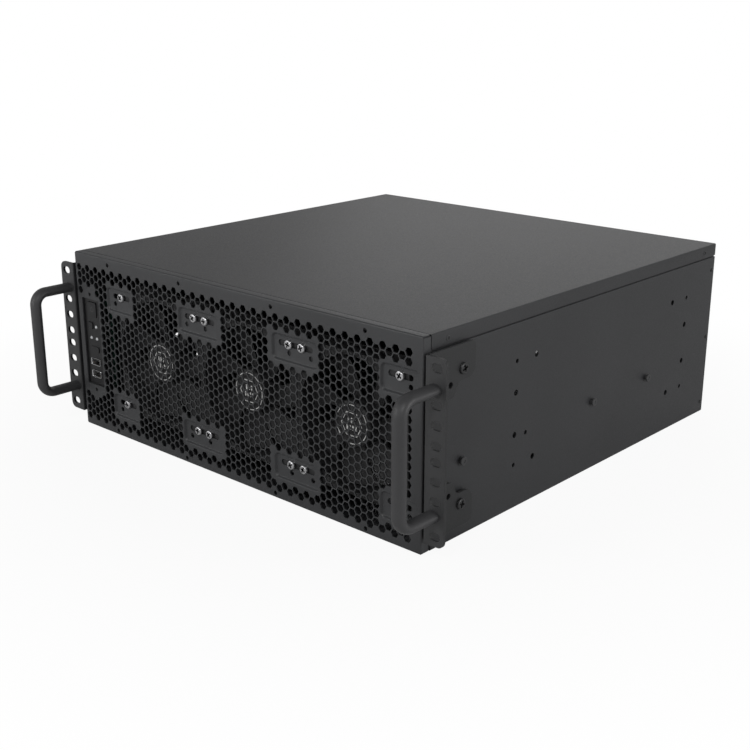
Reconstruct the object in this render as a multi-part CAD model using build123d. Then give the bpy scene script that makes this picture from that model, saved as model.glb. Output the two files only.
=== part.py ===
from build123d import *
import math
import os

# Rackmount workstation, four rack units tall, standing on its tray floor.
# Millimetres: X to the viewer's right, Y away from the viewer, Z up.
# Every function below places its piece with the front panel's outer face at y = 0;
# save() moves all of them so that the whole object is centred over the origin.

# Driving dimensions of the chassis
BODY_W = 437.4
BODY_H = 174.6
BODY_D = 446.0
SHEET = 1.2
EAR_REACH = 22.6
HALF_W = BODY_W / 2
RACK_W = BODY_W + 2 * EAR_REACH
MID_Z = BODY_H / 2
INNER_X = HALF_W - SHEET
STRIP_X = INNER_X - SHEET

# Flats that stand in for round edges where many repeats would need too many faces
HOLE_SIDES = 6
HEAD_SIDES = 6
SHANK_SIDES = 4
HUB_SIDES = 10
BORE_SIDES = 20

# Front panel and its pressed grille
TOP_RETURN = 8.0
FLOOR_RETURN = 10.0
SEAM = 0.8
HEX_PITCH = 22.57
HEX_FLATS = 19.5
HEX_LEFT = 2.5 - HALF_W
HEX_RIGHT = HALF_W - 9.6
HEX_TOP = BODY_H - 10.9
HEX_BOTTOM = 6.6
HEX_BORDER = 1.6
BEZEL_HOLE_R = 2.0
BEZEL_X = (-166.5, -62.0, 56.0, 160.5)
BEZEL_TOP_Z = BODY_H - 6.3
BEZEL_LOW_Z = 4.3

# Three intake fans and the pads that carry them
FAN = 120.0
FAN_DEPTH = 25.0
FAN_SCREWS = 105.0
FAN_GROUP_X = 22.5
FAN_X = (FAN_GROUP_X - FAN, FAN_GROUP_X, FAN_GROUP_X + FAN)
FAN_BORE_R = 57.0
FAN_BLADE_R = 55.5
FAN_HUB_R = 20.0
FAN_BLADES = 7
BLADE_PITCH = 32.0
SHAFT_R = 1.5
RUNNING = 0.05
PAD_H = 23.0
PAD_DROP = 3.55
PAD_DEPTH = 2.0
PAD_SLOPE = 1.8
PAD_CORNER = 3.5
PAD_SINGLE_W = 39.5
PAD_DOUBLE_W = 53.5
PAD_SINGLE_X = FAN * 1.5 - 6.75
PAD_DOUBLE_X = FAN / 2 + 0.2
SLOT_SINGLE = 25.0
SLOT_DOUBLE = 39.5
SLOT_H = 5.0
PAD_HOLE_R = 2.3
PAD_HOLE_DROP = 7.3
FAN_HEAD_R = 4.0
FAN_HEAD_H = 2.3
FAN_SHANK_R = 2.1
FAN_SHANK = 8.0
FAN_Y = SHEET + PAD_DEPTH

# Control recess at the left of the grille
CONTROL_X = 20.4 - HALF_W
CONTROL_W = 26.5
CONTROL_H = 86.5
CONTROL_FLOOR = 2.0
CONTROL_BACK = 4.0
CONTROL_SCREW_Z = 48.0
CONTROL_HOLE_R = 1.9
CONTROL_LEDGE = 1.75
CONTROL_POST = (5.0, 1.5)
CONTROL_BOARD = (13.0, 45.0)
SWITCH = (2.5, 2.9)
POWER_W = 12.6
POWER_H = 14.2
POWER_Z = MID_Z + 32.7
POWER_TRAVEL = 1.5
RESET_W = 6.2
RESET_X = CONTROL_X - 4.2
RESET_Z = MID_Z + 16.2
RESET_TRAVEL = 0.8
BUTTON_GAP = 0.35
LED_R = 1.5
LED_RIGHT = CONTROL_X + 4.0
LED_LEFT = CONTROL_X - 4.9
LED_HIGH = MID_Z + 15.7
LED_LOW = MID_Z + 3.7
LED_SPOTS = ((LED_RIGHT, LED_HIGH), (LED_LEFT, LED_LOW), (LED_RIGHT, LED_LOW))
BLANK_Z = MID_Z - 7.5
USB_Z = (MID_Z - 20.1, MID_Z - 32.4)
USB_W = 13.1
USB_H = 5.7
USB_WALL = 0.35
USB_DEPTH = 14.0

# Rack ears and handles
EAR_GAP = 2.5
EAR_T = 2.5
EAR_HALF = 74.9
EAR_INNER = HALF_W + EAR_GAP
EAR_ROUND = 6.0
EAR_TAB_Y = 56.0
EAR_TAB_H = 28.8
EAR_TAB_CUT = 4.5
EAR_TAB_ROOT_Y = 36.0
EAR_LOBE_Y = 30.0
EAR_LOBE_HALF = 34.2
EAR_STRIP_Y = 22.0
EAR_SLOT_X = RACK_W / 2 - 8.74
EAR_SLOT_R = 3.55
EAR_SLOT_LENGTH = 10.3
EAR_SLOT_HALF_PITCHES = (6.35, 22.225, 38.1, 66.675)
EAR_SCREW_Y = 40.5
EAR_SCREW_HALF = 55.5
EAR_LOBE_HOLE_Y = 25.8
EAR_LOBE_HOLE_HALF = 45.1
EAR_SPACER_R = 6.0
EAR_HEAD = (4.7, 2.2)
HANDLE_X = HALF_W + 11.5
HANDLE_HALF = 50.0
HANDLE_REACH = 39.5
HANDLE_WIDE = 13.0
HANDLE_THICK = 9.2
HANDLE_BEND = 14.0
HANDLE_THREAD_R = 2.5
HANDLE_THREAD_DEPTH = 16.0
HANDLE_HEAD = (4.4, 3.0)

# Side walls, cover and rear
WALL_TOP = BODY_H - 13.0
LIP_LOW = BODY_H - 11.4
STRIP_LOW = BODY_H - 24.6
COVER_SCREW_Y = (28.0, BODY_D - 22.0)
COVER_SCREW_Z = BODY_H - 6.6
RAIL_SMALL_R = 1.9
RAIL_LARGE_R = 2.6
RAIL_OUTER_Y = (117.0, BODY_D - 52.0)
RAIL_INNER_Y = (144.0, BODY_D - 79.0)
RAIL_WIDE_Z = (MID_Z - 47.8, MID_Z + 42.2)
RAIL_NARROW_Z = (MID_Z - 21.3, MID_Z + 15.3)
RAIL_LONE = (132.5, MID_Z - 23.3)
STUD_Y = (46.5, BODY_D - 213.0, BODY_D - 120.0)
STUD_Z = MID_Z - 22.3
STUD_NECK_R = 2.6
STUD_HEAD_R = 3.7
STUD_NECK = 2.4
STUD_OUT = 3.6
BAR_Y = 24.0
BAR_H = 15.0
SILL_Y = 30.0
RIVET_Y = BODY_D - 4.5
RIVET_Z = (11.0, MID_Z - 7.3, BODY_H - 27.6)
REAR_Y = BODY_D - SHEET
RAIL_TOP = BODY_H - SHEET

# Rear panel
VENT_COUNT = 10
VENT_FIRST_X = -54.0
VENT_PITCH = 17.0
VENT_W = 8.0
VENT_Z = (78.0, BODY_H - 28.6)
PSU_LIP = (5.0, 6.0)
REAR_FLANGE = 10.8
SHELF_DEPTH = 11.8

# Board, card, supply and drives inside
BOARD_X = (7.7 - HALF_W, HALF_W - 124.7)
BOARD_Y = (BODY_D - 246.0, BODY_D - 2.0)
BOARD_Z = SHEET + 6.5
BOARD_T = 1.6
BOARD_TOP = BOARD_Z + BOARD_T
SOCKET = (20.0, BODY_D - 101.0)
SOCKET_H = 4.0
LID_H = 3.0
SOCKET_HALF = 26.0
LID_HALF = 19.0
MEMORY_X = (-62.0, 80.0)
MEMORY_FIRST_Y = BODY_D - 206.0
MEMORY_PITCH = 9.5
MEMORY_COUNT = 4
MEMORY_TOP = 34.0
CARD_SLOT_Y = (BODY_D - 108.0, BODY_D - 18.0)
CARD_SLOT_H = 11.0
SINK_PITCH = 20.0
SINK_GAP = 10.0
COOLER_FINS = 9
COOLER_PITCH = 11.2
COOLER_HALF = (58.0, 24.0)
COOLER_LIFT = 26.0
SHIELD_X = (-66.0, 92.8)
SHIELD_Z = (8.7, 55.0)
SLOT_FIRST_X = -84.0
SLOT_PITCH = 20.32
SLOT_COUNT = 7
SLOT_WINDOW_W = 13.0
SLOT_WINDOW_Z = (20.0, BODY_H - 56.6)
COVER_PLATE_W = 18.4
SHELF_Z = BODY_H - 46.6
CARD_Y = (BODY_D - 244.0, BODY_D - 6.0)
CARD_TOP = BODY_H - 50.6
SHROUD_X = -122.0
BLOWER_Y = BODY_D - 200.0
BLOWER_Z = 74.0
BLOWER_R = 34.0
BLOWER_VANES = 9
PIN_R = 2.0
PSU_SIZE = (86.0, 160.0, 150.0)
PSU_RIGHT = HALF_W - 5.7
PSU_X = (PSU_RIGHT - PSU_SIZE[0], PSU_RIGHT)
PSU_Y = (REAR_Y - PSU_SIZE[1], REAR_Y)
PSU_Z = (SHEET, SHEET + PSU_SIZE[2])
PSU_FAN_R = 58.0
SUPPLY_BLADES = 5
SUPPLY_HUB_R = 18.0
PORT_HALF = (14.0, 10.0)
ROCKER_HALF = (10.0, 7.0)
INLET_Z = PSU_Z[1] - 33.2
ROCKER_Z = PSU_Z[1] - 61.2
ROCKER_TILT = 8.0
PSU_PORT_X = PSU_RIGHT - 23.0
CAGE_X = (HALF_W - 111.7, HALF_W - 7.7)
CAGE_Y = (62.0, 212.0)
DRIVE_H = 26.1
DRIVE_L = 147.0
CAGE_H = 76.0
CAGE_SLOT_Y = (85.0, 137.0, 189.0)
CAGE_SLOT_Z = (17.0, 57.0)
CAGE_SLOT_HALF = (12.0, 3.0)

# Height of the whole rear edge and the shift that centres the object over the origin
REAR_PROUD = 1.0
FRONT_MOST = HANDLE_REACH + HANDLE_THICK / 2
SHIFT_Y = (FRONT_MOST - BODY_D - REAR_PROUD) / 2


def box(x, y, z):
    """A block between the two ends given for each axis."""
    size = (x[1] - x[0], y[1] - y[0], z[1] - z[0])
    middle = ((x[0] + x[1]) / 2, (y[0] + y[1]) / 2, (z[0] + z[1]) / 2)
    return Pos(*middle) * Box(*size)


def rod(radius, length, sides):
    """A round rod, or one with flats where a small fastener or hole needs few faces."""
    if sides == 0:
        return Cylinder(radius, length)
    return extrude(RegularPolygon(radius, sides), amount=length / 2, both=True)


def rod_x(radius, start, end, y, z, sides=0):
    return Pos((start + end) / 2, y, z) * Rot(0, 90, 0) * rod(radius, abs(end - start), sides)


def rod_y(radius, start, end, x, z, sides=0):
    return Pos(x, (start + end) / 2, z) * Rot(90, 0, 0) * rod(radius, abs(end - start), sides)


def rod_z(radius, start, end, x, y, sides=0):
    return Pos(x, y, (start + end) / 2) * rod(radius, abs(end - start), sides)


def front_face(sketch, y=0.0):
    """A sketch drawn in X and Z, standing at the given y."""
    return Pos(0, y, 0) * (Plane.XZ * sketch)


def through(sketch, start, end):
    """A prism along Y from a sketch drawn in X and Z."""
    return extrude(front_face(sketch, start), amount=-(end - start))


def mirrored(shape):
    return mirror(shape, about=Plane.YZ)


def both_sides(shapes):
    return shapes + [mirrored(shape) for shape in shapes]


def save(name, *solids):
    """Write one node, which may hold several equal pieces."""
    placed = [Pos(0, SHIFT_Y, 0) * solid for solid in solids]
    node = placed[0] if len(placed) == 1 else Compound(children=placed)
    export_step(node, f"parts/{name}.step")


# Pads of the front panel


def pad_list():
    """Centre x, width, slot length, screw xs and hole xs of the four pads in a row."""
    pads = []
    for side in (-1, 1):
        screw = FAN_GROUP_X + side * (FAN * 1.5 - 7.5)
        middle = FAN_GROUP_X + side * PAD_SINGLE_X
        pads.append((middle, PAD_SINGLE_W, SLOT_SINGLE, screw, (screw,), (screw + side * 10.0,)))
        middle = FAN_GROUP_X + side * PAD_DOUBLE_X
        inner = FAN_GROUP_X + side * FAN_SCREWS / 2
        outer = inner + side * (FAN - FAN_SCREWS)
        slot = (inner + outer) / 2
        pads.append((middle, PAD_DOUBLE_W, SLOT_DOUBLE, slot, (inner, outer), (inner, inner + side * 25.0)))
    return pads


def pad_rows():
    return (MID_Z + FAN_SCREWS / 2, MID_Z - FAN_SCREWS / 2)


def pad_keep_outs():
    """Rectangles of the panel that carry no hexagons, as x, z, half width, half height."""
    areas = []
    for z in pad_rows():
        for middle, width, _, _, _, _ in pad_list():
            areas.append((middle, z - PAD_DROP, width / 2, PAD_H / 2))
    control_edge = CONTROL_X + CONTROL_W / 2
    left_w = control_edge + HALF_W
    areas.append((-HALF_W + left_w / 2, MID_Z, left_w / 2, CONTROL_SCREW_Z + 2))
    return areas


def hexagon_centres():
    """Flat-topped hexagons in staggered columns, left out where a pad or control lies."""
    column = HEX_PITCH * math.sqrt(3) / 2
    radius = HEX_FLATS / math.sqrt(3)
    spots = []
    count = int((HEX_RIGHT - HEX_LEFT - 2 * radius) / column) + 1
    for i in range(count):
        x = HEX_LEFT + radius + i * column
        z = HEX_TOP - HEX_FLATS / 2 - (i % 2) * HEX_PITCH / 2
        while z - HEX_FLATS / 2 >= HEX_BOTTOM:
            reach = HEX_FLATS / 2 + HEX_BORDER
            blocked = any(
                abs(x - ax) < w + reach and abs(z - az) < h + reach
                for ax, az, w, h in pad_keep_outs()
            )
            if not blocked:
                spots.append((x, z))
            z -= HEX_PITCH
    return spots


def cut_corners(width, height, corner):
    """A rectangle with its corners cut at 45 degrees."""
    w = width / 2
    h = height / 2
    return make_face(Polyline(
        (-w, corner - h), (corner - w, -h), (w - corner, -h), (w, corner - h),
        (w, h - corner), (w - corner, h), (corner - w, h), (-w, h - corner), close=True))


def small_hole(radius):
    return RegularPolygon(radius, HOLE_SIDES, major_radius=False)


def pad_form(x, z, width, start):
    """The tapered block of a pressed pad, from its mouth at start to its floor."""
    mouth = Pos(x, z) * cut_corners(width, PAD_H, PAD_CORNER)
    narrow = width - 2 * PAD_SLOPE
    floor = Pos(x, z) * cut_corners(narrow, PAD_H - 2 * PAD_SLOPE, PAD_CORNER - PAD_SLOPE / 2)
    return loft([front_face(mouth, start), front_face(floor, start + PAD_DEPTH)], ruled=True)


def pressed_pad(x, z, width, length, slot_x, hole_xs):
    """One pad as a dish of sheet, with its long slot and its small holes."""
    dish = pad_form(x, z - PAD_DROP, width, SHEET)
    collar = cut_corners(width, PAD_H, PAD_CORNER)
    dish += through(Pos(x, z - PAD_DROP) * collar, 0, SHEET)
    dish -= pad_form(x, z - PAD_DROP, width, 0)
    cuts = Pos(slot_x, z) * cut_corners(length, SLOT_H, SLOT_H * 0.3)
    for hole_x in hole_xs:
        cuts += Pos(hole_x, z - PAD_HOLE_DROP) * small_hole(PAD_HOLE_R)
    return dish - through(cuts, 0, SHEET + PAD_DEPTH + 1)


def front_panel():
    hexagon = RegularPolygon(HEX_FLATS / math.sqrt(3), 6)
    holes = [Pos(x, z) * hexagon for x, z in hexagon_centres()]
    for x in BEZEL_X:
        holes += [Pos(x, z) * small_hole(BEZEL_HOLE_R) for z in (BEZEL_TOP_Z, BEZEL_LOW_Z)]
    holes += [Pos(CONTROL_X, MID_Z + s * CONTROL_SCREW_Z) * small_hole(CONTROL_HOLE_R) for s in (-1, 1)]
    holes.append(Pos(CONTROL_X, MID_Z) * Rectangle(CONTROL_W, CONTROL_H))
    pads = []
    for z in pad_rows():
        for middle, width, length, slot_x, _, hole_xs in pad_list():
            holes.append(Pos(middle, z - PAD_DROP) * cut_corners(width, PAD_H, PAD_CORNER))
            pads.append(pressed_pad(middle, z, width, length, slot_x, hole_xs))
    outline = (Pos(0, MID_Z) * Rectangle(BODY_W, BODY_H)).wire()
    sheet = Face(outline, [hole.wire() for hole in holes])
    returns = [
        box((-HALF_W, HALF_W), (0, TOP_RETURN), (RAIL_TOP, BODY_H)),
        box((-HALF_W, HALF_W), (0, FLOOR_RETURN), (0, SHEET)),
    ]
    reliefs = []
    for side in (-1, 1):
        edge = sorted((side * INNER_X, side * HALF_W))
        returns.append(box(edge, (0, TOP_RETURN), (0, BODY_H)))
        relief = sorted((side * (INNER_X - 0.2), side * HALF_W))
        reliefs.append(box(relief, (SHEET, TOP_RETURN), (RAIL_TOP - 0.6, BODY_H)))
    body = through(sheet, 0, SHEET) + pads + returns
    return body - reliefs


def tray():
    """Floor, side walls, the inner strips that the lip and panel close over, and the top rail."""
    wall_y = (TOP_RETURN + SEAM, BODY_D)
    body = box((-HALF_W, HALF_W), (FLOOR_RETURN + SEAM, BODY_D), (0, SHEET))
    body += box((-STRIP_X, STRIP_X), (SHEET, SILL_Y), (SHEET, 2 * SHEET))
    for side in (-1, 1):
        wall = sorted((side * INNER_X, side * HALF_W))
        strip = sorted((side * STRIP_X, side * INNER_X))
        body += box(wall, (FLOOR_RETURN + SEAM, BODY_D), (0, WALL_TOP))
        body += box(wall, wall_y, (SHEET * 3, WALL_TOP))
        body += box(strip, (SHEET, BAR_Y), (SHEET, STRIP_LOW + 5))
        body += box(strip, (wall_y[0], REAR_Y), (STRIP_LOW, RAIL_TOP))
    body += box((-STRIP_X - 0.5, STRIP_X + 0.5), (wall_y[0], BAR_Y), (RAIL_TOP - SHEET, RAIL_TOP))
    body += box((-STRIP_X, STRIP_X), (SHEET, BAR_Y), (RAIL_TOP - SHEET, RAIL_TOP))
    body += box((-STRIP_X, STRIP_X), (BAR_Y - SHEET, BAR_Y), (BODY_H - BAR_H, RAIL_TOP - SHEET))
    for y, z, radius, sides in side_holes():
        body -= rod_x(radius, -HALF_W - 1, HALF_W + 1, y, z, sides)
    return body


def side_holes():
    """Rail holes of one side wall as y, z, radius and number of flats."""
    holes = [(RAIL_LONE[0], RAIL_LONE[1], RAIL_SMALL_R, HOLE_SIDES)]
    holes += [(y, z, RAIL_SMALL_R, 0) for y in RAIL_OUTER_Y for z in RAIL_WIDE_Z]
    holes += [(y, z, RAIL_LARGE_R, HOLE_SIDES) for y in RAIL_OUTER_Y for z in RAIL_NARROW_Z]
    holes += [(y, z, RAIL_LARGE_R, HOLE_SIDES) for y in RAIL_INNER_Y for z in RAIL_WIDE_Z]
    return holes


def top_cover():
    start = TOP_RETURN + SEAM
    body = box((-HALF_W, HALF_W), (start, BODY_D), (RAIL_TOP, BODY_H))
    for side in (-1, 1):
        lip = sorted((side * INNER_X, side * HALF_W))
        body += box(lip, (start, BODY_D), (LIP_LOW, BODY_H))
    return body


def cover_screws():
    """Low screw heads on the cover's lips."""
    heads = [rod_x(2.6, HALF_W, HALF_W + 0.4, y, COVER_SCREW_Z, HEAD_SIDES) for y in COVER_SCREW_Y]
    return both_sides(heads)


def rail_studs():
    """Shouldered studs that a slide rail hooks over."""
    studs = []
    for y in STUD_Y:
        neck = rod_x(STUD_NECK_R, HALF_W, HALF_W + STUD_NECK, y, STUD_Z, HEAD_SIDES)
        head = rod_x(STUD_HEAD_R, HALF_W + STUD_NECK, HALF_W + STUD_OUT, y, STUD_Z, HEAD_SIDES)
        studs.append(neck + head)
    return both_sides(studs)


def ear():
    """Right-hand rack ear: slotted flange, spaced side leaf with two lobed tabs."""
    outline = Polyline(
        (0, -EAR_HALF), (EAR_TAB_Y, -EAR_HALF), (EAR_TAB_Y, -EAR_HALF + EAR_TAB_H - EAR_TAB_CUT),
        (EAR_TAB_Y - EAR_TAB_CUT, -EAR_HALF + EAR_TAB_H), (EAR_TAB_ROOT_Y, -EAR_HALF + EAR_TAB_H),
        (EAR_LOBE_Y, -EAR_LOBE_HALF), (EAR_STRIP_Y, -EAR_LOBE_HALF), (EAR_STRIP_Y, EAR_LOBE_HALF),
        (EAR_LOBE_Y, EAR_LOBE_HALF), (EAR_TAB_ROOT_Y, EAR_HALF - EAR_TAB_H),
        (EAR_TAB_Y, EAR_HALF - EAR_TAB_H), (EAR_TAB_Y, EAR_HALF - EAR_TAB_CUT),
        (EAR_TAB_Y - EAR_TAB_CUT, EAR_HALF), (0, EAR_HALF), close=True)
    leaf_face = Pos(EAR_INNER, 0, MID_Z) * (Plane.YZ * make_face(outline))
    body = extrude(leaf_face, amount=EAR_T)
    outer = RACK_W / 2
    flange = Pos((EAR_INNER + outer) / 2, MID_Z) * Rectangle(outer - EAR_INNER, 2 * EAR_HALF)
    flange = fillet(flange.vertices().sort_by(Axis.X)[-2:], EAR_ROUND)
    for half in EAR_SLOT_HALF_PITCHES:
        for side in (-1, 1):
            slot = SlotOverall(EAR_SLOT_LENGTH, 2 * EAR_SLOT_R)
            flange -= Pos(EAR_SLOT_X, MID_Z + side * half) * slot
    for side in (-1, 1):
        flange -= Pos(HANDLE_X, MID_Z + side * HANDLE_HALF) * small_hole(HANDLE_THREAD_R + 0.2)
    body += through(flange, 0, EAR_T)
    bend = body.edges().filter_by(Axis.Z).group_by(Axis.X)[0].sort_by(Axis.Y)[0]
    body = chamfer(bend, EAR_T * 0.6)
    for side in (-1, 1):
        spots = (
            (EAR_SCREW_Y, EAR_SCREW_HALF, 2.1),
            (EAR_LOBE_HOLE_Y, EAR_LOBE_HOLE_HALF, 2.5),
        )
        for y, half, hole in spots:
            z = MID_Z + side * half
            body += rod_x(EAR_SPACER_R, HALF_W, EAR_INNER, y, z, HEAD_SIDES)
            body -= rod_x(hole, HALF_W - 1, EAR_INNER + EAR_T + 1, y, z, HOLE_SIDES)
    return body


def ear_screws():
    """Truss-head screws that hold the right ear's leaf."""
    face = EAR_INNER + EAR_T
    screws = []
    for side in (-1, 1):
        z = MID_Z + side * EAR_SCREW_HALF
        head = rod_x(EAR_HEAD[0], face, face + EAR_HEAD[1], EAR_SCREW_Y, z, HEAD_SIDES)
        screws.append(head + rod_x(1.6, HALF_W, face, EAR_SCREW_Y, z, SHANK_SIDES))
    return both_sides(screws)


def handle():
    """Right-hand bow handle of oval bar."""
    top = MID_Z + HANDLE_HALF
    low = MID_Z - HANDLE_HALF
    bend_y = HANDLE_BEND - HANDLE_REACH
    oval = scale(RegularPolygon(HANDLE_WIDE / 2, 8), by=(1, HANDLE_THICK / HANDLE_WIDE, 1))
    body = Pos(HANDLE_X, -HANDLE_REACH, low + HANDLE_BEND) * extrude(
        oval, amount=2 * (HANDLE_HALF - HANDLE_BEND))
    for z, side in ((top, 1), (low, -1)):
        leg = Pos(HANDLE_X, z) * oval
        body += extrude(front_face(leg, 0), amount=-bend_y)
        turn = Axis((0, bend_y, z - side * HANDLE_BEND), (side, 0, 0))
        body += revolve(front_face(leg, bend_y), axis=turn, revolution_arc=90)
        body -= rod_y(HANDLE_THREAD_R, -HANDLE_THREAD_DEPTH, 1, HANDLE_X, z, HOLE_SIDES)
    return body


def handle_screws():
    """Screws from behind the ears into the handles' legs."""
    screws = []
    for side in (-1, 1):
        z = MID_Z + side * HANDLE_HALF
        shank = rod_y(HANDLE_THREAD_R - 0.1, 1 - HANDLE_THREAD_DEPTH, EAR_T, HANDLE_X, z, HOLE_SIDES)
        head = rod_y(HANDLE_HEAD[0], EAR_T, EAR_T + HANDLE_HEAD[1], HANDLE_X, z, HEAD_SIDES)
        screws.append(shank + head)
    return both_sides(screws)


# Fans


def fan_frame(size, depth, bore, hub, screw_pitch):
    """A square axial fan housing standing on its front face at y = 0, centred at x = z = 0."""
    square = cut_corners(size, size, size / 30)
    square -= RegularPolygon(bore, BORE_SIDES, major_radius=False)
    for sx in (-1, 1):
        for sz in (-1, 1):
            square -= Pos(sx * screw_pitch / 2, sz * screw_pitch / 2) * small_hole(FAN_SHANK_R + 0.1)
    body = through(square, 0, depth)
    for turn in (45, 135, 225, 315):
        arm = box((hub - 1, bore + 1), (depth - 3, depth), (-2, 2))
        body += Rot(0, turn, 0) * arm
    body += rod_y(hub, depth - 3, depth, 0, 0, HUB_SIDES)
    return body - rod_y(SHAFT_R + RUNNING, depth - 9, depth - 1, 0, 0)


def fan_rotor(blade_r, depth, hub, blades):
    """Hub, pitched blades and shaft that run in fan_frame of the same depth."""
    body = rod_y(hub, 0.6, depth - 4, 0, 0, HUB_SIDES)
    body += rod_y(SHAFT_R, depth - 5, depth - 1.5, 0, 0)
    root = hub * 0.38
    tip = math.pi * blade_r / blades * 0.62
    outline = Polyline(
        (-root, hub - 2), (root, hub - 2), (tip, blade_r - 4), (0, blade_r), (-tip, blade_r - 4),
        close=True)
    blade = extrude(make_face(Plane.XZ * outline), amount=0.8, both=True)
    pitched = Rot(0, 0, BLADE_PITCH) * blade
    for i in range(blades):
        body += Pos(0, depth / 2 - 1, 0) * Rot(0, i * 360 / blades, 0) * pitched
    return body


def front_fan_frame():
    return fan_frame(FAN, FAN_DEPTH, FAN_BORE_R, FAN_HUB_R, FAN_SCREWS)


def front_fan_rotor():
    return fan_rotor(FAN_BLADE_R, FAN_DEPTH, FAN_HUB_R, FAN_BLADES)


def fan_screws():
    screws = []
    for z in pad_rows():
        for _, _, _, _, xs, _ in pad_list():
            for x in xs:
                head = rod_y(FAN_HEAD_R, PAD_DEPTH - FAN_HEAD_H, PAD_DEPTH, x, z, HEAD_SIDES)
                shank = rod_y(FAN_SHANK_R, PAD_DEPTH, FAN_Y + FAN_SHANK, x, z, SHANK_SIDES)
                screws.append(head + shank)
    return screws


# Control recess


def control_housing():
    """Moulded housing behind the panel, with a window for each control."""
    outline = Pos(CONTROL_X, MID_Z) * Rectangle(CONTROL_W + 2 * CONTROL_LEDGE, CONTROL_H + 5)
    outline += Pos(CONTROL_X, MID_Z) * Rectangle(10, 2 * CONTROL_SCREW_Z + 8)
    body = through(outline, SHEET, CONTROL_BACK)
    body -= through(Pos(CONTROL_X, MID_Z) * Rectangle(CONTROL_W, CONTROL_H), 0, CONTROL_FLOOR)
    gap = 2 * BUTTON_GAP
    windows = Pos(CONTROL_X, POWER_Z) * Rectangle(POWER_W + gap, POWER_H + gap)
    windows += Pos(RESET_X, RESET_Z) * Rectangle(RESET_W + gap, RESET_W + gap)
    for x, z in LED_SPOTS:
        windows += Pos(x, z) * small_hole(LED_R + 0.05)
    for z in USB_Z:
        windows += Pos(CONTROL_X, z) * Rectangle(USB_W + 0.1, USB_H + 0.1)
    body -= through(windows, 0, CONTROL_BACK + 1)
    blank = Pos(CONTROL_X, BLANK_Z) * cut_corners(POWER_W, USB_H, 1)
    body += through(blank, CONTROL_FLOOR - 0.8, CONTROL_FLOOR)
    half_w, half_h = CONTROL_POST
    for side in (-1, 1):
        z = MID_Z + side * CONTROL_SCREW_Z
        body -= rod_y(1.4, 0, CONTROL_BACK + 1, CONTROL_X, z, HOLE_SIDES)
        post = MID_Z + side * (CONTROL_H / 2 + 1)
        post_x = (CONTROL_X - half_w, CONTROL_X + half_w)
        body += box(post_x, (CONTROL_BACK, board_face()), (post - half_h, post + half_h))
    return body


def board_face():
    """Front face of the small board that carries the controls."""
    return CONTROL_FLOOR - 0.6 + USB_DEPTH


def control_screws():
    screws = []
    for side in (-1, 1):
        z = MID_Z + side * CONTROL_SCREW_Z
        shank = rod_y(1.3, SHEET, CONTROL_BACK + 1, CONTROL_X, z, HOLE_SIDES)
        screws.append(shank + rod_y(1.8, 0.3, SHEET, CONTROL_X, z, HEAD_SIDES))
    return screws


def button(width, height, x, z, travel):
    """A cap with a collar behind the housing and a stem that ends short of its switch."""
    stop = CONTROL_BACK + 0.05
    cap = Pos(x, z) * cut_corners(width, height, 1.2)
    body = through(cap, CONTROL_FLOOR - 0.9, stop + 1)
    body += through(Pos(x, z) * Rectangle(width + 2.4, height + 2.4), stop, stop + 1)
    return body + rod_y(1.4, stop + 1, board_face() - SWITCH[1] - 0.1 - travel, x, z, HEAD_SIDES)


def status_lights():
    lights = []
    for x, z in LED_SPOTS:
        lights.append(rod_y(LED_R, CONTROL_FLOOR - 0.5, board_face(), x, z, 8))
    return lights


def usb_port(z):
    front = CONTROL_FLOOR - 0.6
    width = (CONTROL_X - USB_W / 2, CONTROL_X + USB_W / 2)
    body = box(width, (front, board_face()), (z - USB_H / 2, z + USB_H / 2))
    inner_w = USB_W / 2 - USB_WALL
    inner_h = USB_H / 2 - USB_WALL
    mouth = (front - 1, board_face() - 2)
    return body - box((CONTROL_X - inner_w, CONTROL_X + inner_w), mouth, (z - inner_h, z + inner_h))


def control_board():
    """Small board behind the controls, with the two switches that the stems meet."""
    face = board_face()
    half_w, half_h = CONTROL_BOARD
    half, thick = SWITCH
    back = face + BOARD_T
    body = box((CONTROL_X - half_w, CONTROL_X + half_w), (face, back), (MID_Z - half_h, MID_Z + half_h))
    for x, z in ((CONTROL_X, POWER_Z), (RESET_X, RESET_Z)):
        body += box((x - half, x + half), (face - thick, face), (z - half, z + half))
    return body + box((CONTROL_X - 8, CONTROL_X + 8), (back, back + 8), (MID_Z - 39.3, MID_Z - 21.3))


# Rear panel and what shows there


def slot_xs():
    return [SLOT_FIRST_X - i * SLOT_PITCH for i in range(SLOT_COUNT)]


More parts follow.
